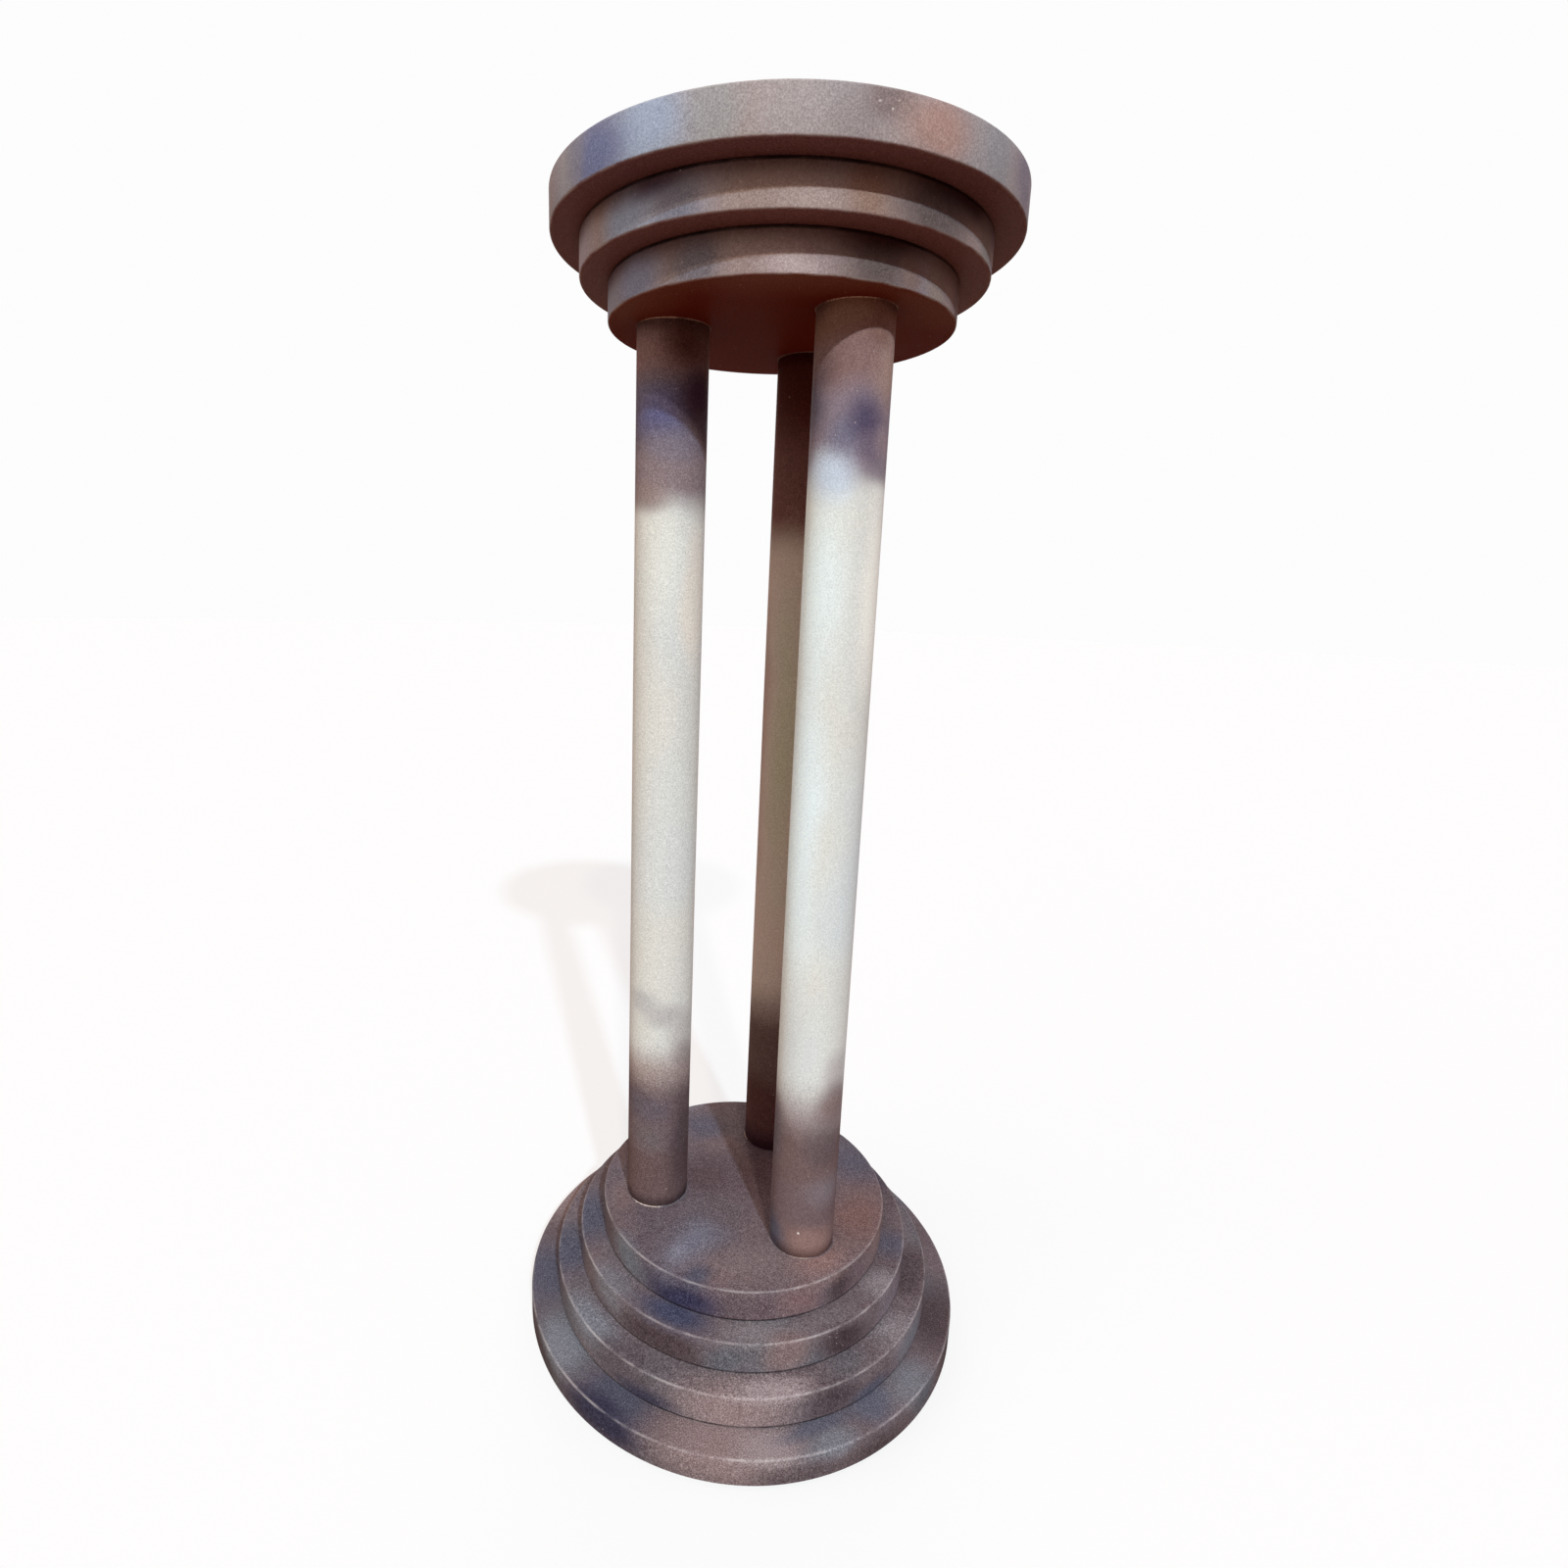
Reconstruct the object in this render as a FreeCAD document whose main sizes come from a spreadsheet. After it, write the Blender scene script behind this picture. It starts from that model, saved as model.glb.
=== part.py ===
import FreeCAD, Part
import os

import Sketcher

# A three-column pedestal stand. Four round boards step up to form the base, three hollow columns
# stand on it on turned plugs, and three boards step out again to form the capital that carries
# the load. Lengths are in millimetres. The stand's axis is Z, its origin is on the floor in the
# middle of the base, and the first column stands on the +Y side.

# ---------------------------------------------------------------------------- driving sizes
SIZES = [
    ("board_thickness", 25.4, "every board but the lowest"),
    ("bottom_board_thickness", 22.0, "lowest board"),
    ("column_disc_diameter", 235.0, "the two boards that the columns stand between"),
    ("ledge_width", 19.0, "step from one board out to the next"),
    ("bottom_ledge_width", 22.3, "step out to the lowest board"),
    ("rim_rounding", 1.6, "rounding of every board's rim"),
    ("column_count", 3, "columns, evenly spaced"),
    ("column_diameter", 50.0, "outside of a column"),
    ("column_wall", 3.2, "wall of a column's tube"),
    ("column_length", 666.75, "column between the two boards"),
    ("column_edge_margin", 19.5, "from a column's outside to the board's rim"),
    ("plug_length", 50.0, "turned plug inside a column's end"),
    ("plug_play", 0.25, "gap between a plug and the tube's bore"),
    ("plug_lead", 3.0, "chamfer on a plug's free end"),
    ("filler_leg", 1.5, "height and width of the bead round a column's end"),
    ("screw_diameter", 4.8, "shank of every wood screw"),
    ("screw_head_diameter", 9.6, "countersunk head"),
    ("screw_head_height", 2.9, "cone under the head"),
    ("screw_head_recess", 1.0, "how far a head sits below its board's face"),
    ("screw_point_length", 6.0, "tapered point"),
    ("screw_cover", 6.4, "wood left past a board screw's point"),
    ("screw_edge_margin", 30.0, "from a board screw to the smaller board's rim"),
    ("board_screw_count", 6, "screws in each board joint"),
    ("plug_screw_cover", 12.0, "wood left past a plug screw's point"),
    ("plug_screw_spacing", 20.0, "between the two screws in a plug"),
    ("dowel_diameter", 10.0, "dowels under the top board"),
    ("dowel_cover", 7.0, "wood left past a dowel's end"),
    ("dowel_lead", 1.0, "chamfer on a dowel's ends"),
    ("dowel_edge_margin", 30.0, "from a dowel to the smaller board's rim"),
    ("dowel_count", 3, "dowels under the top board"),
    ("glide_count", 6, "glides under the base"),
    ("glide_diameter", 22.0, "nylon glide"),
    ("glide_thickness", 3.0, "height that the glides lift the base"),
    ("glide_chamfer", 0.8, "chamfer round a glide's sole"),
    ("glide_edge_margin", 9.0, "from a glide to the lowest board's rim"),
    ("nail_diameter", 2.2, "glide nail"),
    ("nail_cover", 8.0, "wood left past a nail's point"),
    ("nail_point_length", 3.0, "tapered point of a nail"),
    ("nail_head_diameter", 7.0, "nail head, sunk in its glide"),
    ("nail_head_thickness", 0.8, "nail head"),
    ("nail_head_recess", 0.9, "from the sole up to the nail's head"),
    ("hole_play", 0.1, "gap all round a screw, dowel or nail in its hole"),
]

# Radii, heights and depths that follow from the driving sizes.
PLACES = [
    ("column_disc_radius", "Sizes.column_disc_diameter / 2"),
    ("middle_disc_radius", "column_disc_radius + Sizes.ledge_width"),
    ("large_disc_radius", "middle_disc_radius + Sizes.ledge_width"),
    ("bottom_disc_radius", "large_disc_radius + Sizes.bottom_ledge_width"),
    ("base_disc_1_height", "Sizes.glide_thickness"),
    ("base_disc_2_height", "base_disc_1_height + Sizes.bottom_board_thickness"),
    ("base_disc_3_height", "base_disc_2_height + Sizes.board_thickness"),
    ("base_disc_4_height", "base_disc_3_height + Sizes.board_thickness"),
    ("column_foot", "base_disc_4_height + Sizes.board_thickness"),
    ("column_head", "column_foot + Sizes.column_length"),
    ("capital_disc_1_height", "column_head"),
    ("capital_disc_2_height", "capital_disc_1_height + Sizes.board_thickness"),
    ("capital_disc_3_height", "capital_disc_2_height + Sizes.board_thickness"),
    ("column_radius", "Sizes.column_diameter / 2"),
    ("column_bore_radius", "column_radius - Sizes.column_wall"),
    ("column_circle", "column_disc_radius - Sizes.column_edge_margin - column_radius"),
    ("plug_radius", "column_bore_radius - Sizes.plug_play"),
    ("screw_radius", "Sizes.screw_diameter / 2"),
    ("screw_head_radius", "Sizes.screw_head_diameter / 2"),
    ("screw_bite", "Sizes.board_thickness - Sizes.screw_cover"),
    ("plug_screw_bite", "Sizes.plug_length - Sizes.plug_screw_cover"),
    ("inner_plug_screw_circle", "column_circle - Sizes.plug_screw_spacing / 2"),
    ("outer_plug_screw_circle", "column_circle + Sizes.plug_screw_spacing / 2"),
    ("dowel_radius", "Sizes.dowel_diameter / 2"),
    ("dowel_bite", "Sizes.board_thickness - Sizes.dowel_cover"),
    ("dowel_circle", "middle_disc_radius - Sizes.dowel_edge_margin"),
    ("glide_radius", "Sizes.glide_diameter / 2"),
    ("glide_circle", "bottom_disc_radius - Sizes.glide_edge_margin - glide_radius"),
    ("nail_radius", "Sizes.nail_diameter / 2"),
    ("nail_head_radius", "Sizes.nail_head_diameter / 2"),
    ("nail_head_top", "Sizes.nail_head_recess + Sizes.nail_head_thickness"),
    ("nail_bite", "Sizes.bottom_board_thickness - Sizes.nail_cover"),
]

doc = FreeCAD.newDocument("pedestal_stand")
sizes = doc.addObject("Spreadsheet::Sheet", "Sizes")
for row, (alias, number, meaning) in enumerate(SIZES, 1):
    sizes.set(f"A{row}", meaning)
    sizes.set(f"B{row}", str(number))
    sizes.setAlias(f"B{row}", alias)
places = doc.addObject("Spreadsheet::Sheet", "Places")
for row, (alias, formula) in enumerate(PLACES, 1):
    places.set(f"A{row}", alias)
    places.set(f"B{row}", "=" + formula)
    places.setAlias(f"B{row}", alias)
doc.recompute()

FULL_TURN = 360
SAME_SIZE = 1e-6
CENTRE_LINE_LENGTH = 1
bodies = []


def value(expression):
    """The number that an expression has now."""
    return float(sizes.evalExpression(expression))


# ------------------------------------------------------------------------- building blocks
def new_body(label, height="0", turn="0"):
    """A piece whose own Z = 0 lies at a height, turned about the stand's axis."""
    body = doc.addObject("PartDesign::Body", label)
    body.Label = label
    body.AllowCompound = True
    body.setExpression("Placement.Base.z", height)
    body.setExpression("Placement.Rotation.Angle", f"({turn}) * 1 deg")
    bodies.append(body)
    return body


def origin_feature(body, role):
    """One of the body's own planes or axes."""
    return next(feature for feature in body.Origin.OriginFeatures if feature.Role == role)


def new_sketch(body, name, plane):
    sketch = body.newObject("Sketcher::SketchObject", f"{body.Label}_{name}")
    sketch.AttachmentSupport = [(origin_feature(body, plane), "")]
    sketch.MapMode = "FlatFace"
    return sketch


def place_point(sketch, geometry, point, across, up):
    """Tie a point to the sketch's origin by two expressions."""
    for kind, axis, expression in (("DistanceX", -2, across), ("DistanceY", -1, up)):
        distance = value(expression)
        if distance == 0:
            sketch.addConstraint(Sketcher.Constraint("PointOnObject", geometry, point, axis))
        else:
            constraint = Sketcher.Constraint(kind, -1, 1, geometry, point, distance)
            number = sketch.addConstraint(constraint)
            sketch.setExpression(f"Constraints[{number}]", expression)


def add_circle(sketch, up, radius):
    """A circle whose centre lies up the sketch's vertical axis."""
    centre = FreeCAD.Vector(0, value(up), 0)
    circle = sketch.addGeometry(Part.Circle(centre, FreeCAD.Vector(0, 0, 1), value(radius)))
    place_point(sketch, circle, 3, "0", up)
    number = sketch.addConstraint(Sketcher.Constraint("Radius", circle, value(radius)))
    sketch.setExpression(f"Constraints[{number}]", radius)


def add_outline(sketch, axis, corners):
    """A closed outline from corners given as (distance from the axis line, height)."""
    points = [(f"{axis} + {radius}", up) for radius, up in corners]
    spots = [FreeCAD.Vector(value(across), value(up), 0) for across, up in points]
    count = len(spots)
    for index in range(count):
        sketch.addGeometry(Part.LineSegment(spots[index], spots[(index + 1) % count]))
    for index, (across, up) in enumerate(points):
        previous = (index - 1) % count
        sketch.addConstraint(Sketcher.Constraint("Coincident", previous, 2, index, 1))
        place_point(sketch, index, 1, across, up)
    foot = FreeCAD.Vector(value(axis), 0, 0)
    head = foot + FreeCAD.Vector(0, CENTRE_LINE_LENGTH, 0)
    centre_line = sketch.addGeometry(Part.LineSegment(foot, head), True)
    place_point(sketch, centre_line, 1, axis, "0")
    sketch.addConstraint(Sketcher.Constraint("Vertical", centre_line))
    sketch.addConstraint(Sketcher.Constraint("Distance", centre_line, CENTRE_LINE_LENGTH))


def add_pad(body, name, length, circles):
    """Pad a sketch of circles, each (distance from the stand's axis, radius)."""
    sketch = new_sketch(body, f"{name}_sketch", "XY_Plane")
    for up, radius in circles:
        add_circle(sketch, up, radius)
    pad = body.newObject("PartDesign::Pad", f"{body.Label}_{name}")
    pad.Profile = sketch
    pad.setExpression("Length", length)
    doc.recompute()
    return pad


def add_turned(body, kind, name, plane, axis, corners):
    """Turn an outline about a vertical line, to add a piece or to cut a hole."""
    sketch = new_sketch(body, f"{name}_sketch", plane)
    add_outline(sketch, axis, corners)
    feature = body.newObject(kind, f"{body.Label}_{name}")
    feature.Profile = sketch
    feature.ReferenceAxis = (sketch, ["Axis0"])
    feature.Angle = FULL_TURN
    return feature


def repeat_around(body, name, features, count):
    """Repeat features evenly about the stand's axis."""
    pattern = body.newObject("PartDesign::PolarPattern", f"{body.Label}_{name}")
    pattern.Originals = features
    pattern.Axis = (origin_feature(body, "Z_Axis"), [""])
    pattern.Angle = FULL_TURN
    pattern.setExpression("Occurrences", count)
    body.Tip = pattern
    doc.recompute()


def rim_edges(shape, radius, heights):
    """Names of the circular edges of one radius that lie at the given heights."""
    names = []
    for number, edge in enumerate(shape.Edges, 1):
        if not isinstance(edge.Curve, Part.Circle) or abs(edge.Curve.Radius - radius) > SAME_SIZE:
            continue
        if any(abs(edge.Curve.Center.z - height) < SAME_SIZE for height in heights):
            names.append(f"Edge{number}")
    return names


# --------------------------------------------------------------------------- hole outlines
# Every hole is a turned outline a little larger than what goes into it. A plane through the
# first column is YZ_Plane, and XZ_Plane lies a quarter turn from it, clear of the columns.
COLUMN_PLANE = "YZ_Plane"
SCREW_PLANE = "XZ_Plane"
HOLE = "PartDesign::Groove"
SOLID = "PartDesign::Revolution"


def plain_hole(radius, low, high):
    """A hole with a flat bottom, between two heights."""
    wall = f"{radius} + Sizes.hole_play"
    return [("0", low), (wall, low), (wall, high), ("0", high)]


def screw_heights(face, side):
    """Heights of a head's flat and of the cone's small end, from the face it is driven into.

    side is + for a screw driven upwards and - for one driven downwards.
    """
    flat = f"{face} {side} Sizes.screw_head_recess"
    return flat, f"{flat} {side} Sizes.screw_head_height"


def countersunk_hole(face, far_face, side):
    """A clearance hole through a board, with a seat for the head."""
    flat, neck = screw_heights(face, side)
    head = "Places.screw_head_radius + Sizes.hole_play"
    wall = "Places.screw_radius + Sizes.hole_play"
    return [("0", face), (head, face), (head, flat), (wall, neck), (wall, far_face), ("0", far_face)]


def screw_outline(face, point, side):
    """A countersunk wood screw, from the face it is driven into to its point."""
    flat, neck = screw_heights(face, side)
    shoulder = f"{point} - ({side}Sizes.screw_point_length)"
    shank = "Places.screw_radius"
    return [("0", flat), ("Places.screw_head_radius", flat), (shank, neck), (shank, shoulder),
            ("0", point)]


# -------------------------------------------------------------------------------- the boards
def board(label, radius, thickness):
    """A round board, its rim rounded above and below, made as the first steps of a body."""
    body = new_body(label, f"Places.{label}_height")
    blank = add_pad(body, "blank", thickness, [("0", radius)])
    rounding = body.newObject("PartDesign::Fillet", f"{label}_rim")
    rounding.Base = (blank, rim_edges(blank.Shape, value(radius), (0, value(thickness))))
    rounding.setExpression("Radius", "Sizes.rim_rounding")
    doc.recompute()
    return body


def screw_circle(radius):
    """Distance of a joint's screws from the stand's axis."""
    return f"{radius} - Sizes.screw_edge_margin"


def plug_screw_holes(body, face, far_face, side):
    """Countersunk holes for the screws that hold the plugs, two at each column."""
    holes = []
    for where in ("inner", "outer"):
        circle = f"Places.{where}_plug_screw_circle"
        outline = countersunk_hole(face, far_face, side)
        holes.append(add_turned(body, HOLE, f"{where}_plug_hole", COLUMN_PLANE, circle, outline))
    repeat_around(body, "plug_holes", holes, "Sizes.column_count")


def screws_through(body, radius, thickness, face, side):
    """Countersunk holes for the screws that go on into the next board."""
    far_face = thickness if face == "0" else "0"
    outline = countersunk_hole(face, far_face, side)
    hole = add_turned(body, HOLE, "screw_hole", SCREW_PLANE, screw_circle(radius), outline)
    repeat_around(body, "screw_holes", [hole], "Sizes.board_screw_count")


def screw_pilots(body, radius, low, high):
    """Blind holes that the neighbouring board's screws bite in."""
    outline = plain_hole("Places.screw_radius", low, high)
    hole = add_turned(body, HOLE, "pilot", SCREW_PLANE, screw_circle(radius), outline)
    repeat_around(body, "pilots", [hole], "Sizes.board_screw_count")


PILOT_TOP = "Places.screw_bite + Sizes.hole_play"
BOARD = "Sizes.board_thickness"

# Base, from the floor up. Each board is screwed to the next one from underneath, before the
# next is put on, so only the lowest board's screw heads can be seen.
bottom_board = board("base_disc_1", "Places.bottom_disc_radius", "Sizes.bottom_board_thickness")
screws_through(bottom_board, "Places.large_disc_radius", "Sizes.bottom_board_thickness", "0", "+")
nail_pilot = add_turned(bottom_board, HOLE, "nail_pilot", COLUMN_PLANE, "Places.glide_circle",
                        plain_hole("Places.nail_radius", "0", "Places.nail_bite + Sizes.hole_play"))
repeat_around(bottom_board, "nail_pilots", [nail_pilot], "Sizes.glide_count")

second_board = board("base_disc_2", "Places.large_disc_radius", BOARD)
screw_pilots(second_board, "Places.large_disc_radius", "0", PILOT_TOP)
screws_through(second_board, "Places.middle_disc_radius", BOARD, "0", "+")

third_board = board("base_disc_3", "Places.middle_disc_radius", BOARD)
screw_pilots(third_board, "Places.middle_disc_radius", "0", PILOT_TOP)
screws_through(third_board, "Places.column_disc_radius", BOARD, "0", "+")

fourth_board = board("base_disc_4", "Places.column_disc_radius", BOARD)
screw_pilots(fourth_board, "Places.column_disc_radius", "0", PILOT_TOP)
plug_screw_holes(fourth_board, "0", BOARD, "+")

# Capital, from the columns up. Its screws are driven downwards, and the top board is held by
# blind dowels, so that nothing shows on its face.
lower_capital = board("capital_disc_1", "Places.column_disc_radius", BOARD)
plug_screw_holes(lower_capital, BOARD, "0", "-")
screw_pilots(lower_capital, "Places.column_disc_radius", f"{BOARD} - ({PILOT_TOP})", BOARD)

middle_capital = board("capital_disc_2", "Places.middle_disc_radius", BOARD)
screws_through(middle_capital, "Places.column_disc_radius", BOARD, BOARD, "-")
upper_socket = add_turned(middle_capital, HOLE, "dowel_hole", COLUMN_PLANE, "Places.dowel_circle",
                          plain_hole("Places.dowel_radius", "Sizes.dowel_cover - Sizes.hole_play", BOARD))
repeat_around(middle_capital, "dowel_holes", [upper_socket], "Sizes.dowel_count")

top_board = board("capital_disc_3", "Places.large_disc_radius", BOARD)
under_socket = add_turned(top_board, HOLE, "dowel_hole", COLUMN_PLANE, "Places.dowel_circle",
                          plain_hole("Places.dowel_radius", "0", "Places.dowel_bite + Sizes.hole_play"))
repeat_around(top_board, "dowel_holes", [under_socket], "Sizes.dowel_count")


# ------------------------------------------------------------------------------- the columns
def column_turn(number):
    """Angle from the first column to another one."""
    return f"{number - 1} * {FULL_TURN} / Sizes.column_count"


def column(number):
    """A hollow tube that stands on the base and carries the capital."""
    body = new_body(f"column_{number}", "Places.column_foot", column_turn(number))
    circles = [("Places.column_circle", "Places.column_radius"),
               ("Places.column_circle", "Places.column_bore_radius")]
    add_pad(body, "tube", "Sizes.column_length", circles)


def plug(label, number, height, free_end, pilot_low, pilot_high):
    """A turned plug inside a column's end, screwed to the board that the column meets."""
    body = new_body(f"{label}_{number}", height, column_turn(number))
    blank = add_pad(body, "blank", "Sizes.plug_length", [("Places.column_circle", "Places.plug_radius")])
    lead = body.newObject("PartDesign::Chamfer", f"{body.Label}_lead")
    lead.Base = (blank, rim_edges(blank.Shape, value("Places.plug_radius"), (value(free_end),)))
    lead.setExpression("Size", "Sizes.plug_lead")
    for where in ("inner", "outer"):
        circle = f"Places.{where}_plug_screw_circle"
        outline = plain_hole("Places.screw_radius", pilot_low, pilot_high)
        add_turned(body, HOLE, f"{where}_pilot", COLUMN_PLANE, circle, outline)


PLUG_PILOT = "Places.plug_screw_bite + Sizes.hole_play"
for number in range(1, int(value("Sizes.column_count")) + 1):
    column(number)
    plug("lower_plug", number, "Places.column_foot", "Sizes.plug_length", "0", PLUG_PILOT)
    plug("upper_plug", number, "Places.column_head - Sizes.plug_length", "0",
         f"Sizes.plug_length - ({PLUG_PILOT})", "Sizes.plug_length")


# ------------------------------------------------------------------------------ the fasteners
def screw_group(label, circles, plane, face, point, side, count):
    """Identical screws on one or more circles about the stand's axis."""
    body = new_body(label)
    screws = []
    for number, circle in enumerate(circles, 1):
        outline = screw_outline(face, point, side)
        screws.append(add_turned(body, SOLID, f"screw_{number}", plane, circle, outline))
    repeat_around(body, "set", screws, count)


UPPER_BOARDS = ["Places.large_disc_radius", "Places.middle_disc_radius",
                "Places.column_disc_radius"]
for number, smaller_radius in enumerate(UPPER_BOARDS, 1):
    screw_group(f"base_screws_{number}", [screw_circle(smaller_radius)], SCREW_PLANE,
                f"Places.base_disc_{number}_height",
                f"Places.base_disc_{number + 1}_height + Places.screw_bite", "+",
                "Sizes.board_screw_count")

screw_group("capital_screws", [screw_circle("Places.column_disc_radius")], SCREW_PLANE,
            "Places.capital_disc_3_height", "Places.capital_disc_2_height - Places.screw_bite", "-",
            "Sizes.board_screw_count")

PLUG_SCREW_CIRCLES = ["Places.inner_plug_screw_circle", "Places.outer_plug_screw_circle"]
screw_group("lower_plug_screws", PLUG_SCREW_CIRCLES, COLUMN_PLANE, "Places.base_disc_4_height",
            "Places.column_foot + Places.plug_screw_bite", "+", "Sizes.column_count")
screw_group("upper_plug_screws", PLUG_SCREW_CIRCLES, COLUMN_PLANE, "Places.capital_disc_2_height",
            "Places.column_head - Places.plug_screw_bite", "-", "Sizes.column_count")


def dowels():
    """Blind dowels that hold the top board, chamfered at both ends."""
    body = new_body("capital_dowels")
    low = "Places.capital_disc_3_height - Places.dowel_bite"
    high = "Places.capital_disc_3_height + Places.dowel_bite"
    radius = "Places.dowel_radius"
    end = f"{radius} - Sizes.dowel_lead"
    outline = [("0", low), (end, low), (radius, f"{low} + Sizes.dowel_lead"),
               (radius, f"{high} - Sizes.dowel_lead"), (end, high), ("0", high)]
    dowel = add_turned(body, SOLID, "dowel", COLUMN_PLANE, "Places.dowel_circle", outline)
    repeat_around(body, "set", [dowel], "Sizes.dowel_count")


def glides():
    """Nylon glides under the base, each with a recess for its nail's head."""
    body = new_body("floor_glides")
    bore = "Places.nail_radius + Sizes.hole_play"
    recess = "Places.nail_head_radius + Sizes.hole_play"
    top = "Sizes.glide_thickness"
    outline = [(bore, top), ("Places.glide_radius", top), ("Places.glide_radius", "Sizes.glide_chamfer"),
               ("Places.glide_radius - Sizes.glide_chamfer", "0"), (recess, "0"),
               (recess, "Places.nail_head_top"), (bore, "Places.nail_head_top")]
    glide = add_turned(body, SOLID, "glide", COLUMN_PLANE, "Places.glide_circle", outline)
    repeat_around(body, "set", [glide], "Sizes.glide_count")


def nails():
    """The nails that hold the glides."""
    body = new_body("glide_nails")
    point = "Sizes.glide_thickness + Places.nail_bite"
    shoulder = f"{point} - Sizes.nail_point_length"
    head, shank = "Places.nail_head_radius", "Places.nail_radius"
    low, high = "Sizes.nail_head_recess", "Places.nail_head_top"
    outline = [("0", low), (head, low), (head, high), (shank, high), (shank, shoulder),
               ("0", point)]
    nail = add_turned(body, SOLID, "nail", COLUMN_PLANE, "Places.glide_circle", outline)
    repeat_around(body, "set", [nail], "Sizes.glide_count")


def filler_beads(label, face, side):
    """Beads of filler that close the joint between the columns' ends and a board."""
    body = new_body(label)
    inside = "Places.column_radius + Sizes.hole_play"
    outline = [(inside, face), (f"{inside} + Sizes.filler_leg", face),
               (inside, f"{face} {side} Sizes.filler_leg")]
    bead = add_turned(body, SOLID, "bead", COLUMN_PLANE, "Places.column_circle", outline)
    repeat_around(body, "set", [bead], "Sizes.column_count")


dowels()
glides()
nails()
filler_beads("foot_filler", "Places.column_foot", "+")
filler_beads("head_filler", "Places.column_head", "-")

# ---------------------------------------------------------------------- checks and writing
doc.recompute()
for item in doc.Objects:
    if "Invalid" in item.State or "Error" in item.State:
        raise RuntimeError(f"{item.Label} did not compute: {item.State}")
    if item.TypeId in (HOLE, "PartDesign::Fillet", "PartDesign::Chamfer"):
        before = item.BaseFeature.Shape.Volume
        if not item.Shape.Volume < before:
            raise RuntimeError(f"{item.Label} removed nothing")

os.makedirs("parts", exist_ok=True)
for body in bodies:
    shape = body.Shape
    if shape.isNull() or not shape.isValid():
        raise RuntimeError(f"{body.Label} has no valid shape")
    shape.exportStep(f"parts/{body.Label}.step")
    box = shape.BoundBox
    print(f"{body.Label}: {len(shape.Solids)} solids, {shape.Volume:.1f} mm3, "
          f"z {box.ZMin:.2f} to {box.ZMax:.2f}")
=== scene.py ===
import math

import bmesh
import bpy
from mathutils import Matrix, Vector, noise


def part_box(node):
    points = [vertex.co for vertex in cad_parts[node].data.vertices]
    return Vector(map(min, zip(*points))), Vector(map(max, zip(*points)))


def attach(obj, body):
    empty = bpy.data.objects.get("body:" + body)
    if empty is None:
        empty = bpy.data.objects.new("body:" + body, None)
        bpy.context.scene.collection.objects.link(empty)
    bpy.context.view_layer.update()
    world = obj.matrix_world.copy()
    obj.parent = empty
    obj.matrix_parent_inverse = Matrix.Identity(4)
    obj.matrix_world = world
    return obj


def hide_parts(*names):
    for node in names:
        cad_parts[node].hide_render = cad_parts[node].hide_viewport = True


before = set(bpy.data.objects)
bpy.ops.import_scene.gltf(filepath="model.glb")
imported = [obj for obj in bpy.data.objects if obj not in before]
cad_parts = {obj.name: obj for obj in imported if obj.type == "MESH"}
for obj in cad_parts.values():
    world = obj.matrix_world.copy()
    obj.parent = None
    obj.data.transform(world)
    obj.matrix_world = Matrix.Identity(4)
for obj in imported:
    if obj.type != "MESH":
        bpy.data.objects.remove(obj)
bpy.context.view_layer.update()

# Viewpoint: close to the stand at two thirds of its height, looking slightly down, so that the
# capital is seen from below and the stepped base from above.
CAMERA_PLACE = (0.21864, -0.60585, 0.59931)
CAMERA_HEADING, CAMERA_TILT, CAMERA_LEAN = 23.637, 77.651, 1.653
CAMERA_LENS, CAMERA_SHIFT = 19.746, (0.0505, -0.0079)
camera_data = bpy.data.cameras.new("viewpoint")
camera_data.sensor_width = 36.0
camera_data.lens = CAMERA_LENS
camera_data.shift_x, camera_data.shift_y = CAMERA_SHIFT
camera_data.clip_start = 0.02
camera = bpy.data.objects.new("viewpoint", camera_data)
camera.matrix_world = (Matrix.Translation(CAMERA_PLACE)
                       @ Matrix.Rotation(math.radians(CAMERA_HEADING), 4, "Z")
                       @ Matrix.Rotation(math.radians(CAMERA_TILT), 4, "X")
                       @ Matrix.Rotation(math.radians(CAMERA_LEAN), 4, "Z"))
bpy.context.scene.collection.objects.link(camera)
bpy.context.scene.camera = camera


# Base board 1, the widest and lowest: a 22 mm fibreboard disc, sawn round, its rims sanded soft by
# hand. The stand is painted after it is put together: airbrushed clouds over a mauve-brown coat.
# Six screws go up through countersunk holes in its bare underside into board 2.
MM = 0.001
BOARD_FACETS = 256
RIM_ROUNDING = 1.6 * MM
RIM_FACETS = 4
RIM_UNEVENNESS = 0.25 * MM
SEAM_WIDTH = 1 * MM
FLAT_MARGIN = 2 * MM
RIM_WAVES = (14, 40)
SCREW_CIRCLE_RADIUS = 125.5 * MM
SCREW_COUNT = 6
SCREW_HEAD_RADIUS = 4.8 * MM
SCREW_HEAD_HEIGHT = 2.9 * MM
SCREW_SHANK_RADIUS = 2.4 * MM
SCREW_RECESS = 1 * MM
HOLE_PLAY = 0.1 * MM
HOLE_FACETS = 32
SAND_SCALE = 1000
COARSE_SCALE = 280
FLECK_SCALE = 260
RUBBED_SCALE = 60
DRIFT_SCALE = 14
MOTTLE_SCALE = 12
CLOUD_DRIFT = 20 * MM
BAND_FRAYING = 40 * MM
PAINT_RELIEF = 0.3 * MM
PAINT_SHINE = 0.2
NAVY = (48, 46, 68)
SLATE = (84, 84, 100)
SMOKE = (98, 100, 108)
ASH = (103, 100, 106)
BLUE_GREY = (128, 129, 138)
DOVE = (142, 134, 138)
ROSE = (146, 125, 125)
MAUVE = (114, 100, 104)
BROWN = (98, 84, 88)
UMBER = (76, 62, 66)
FLECK = (206, 192, 186)
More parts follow.
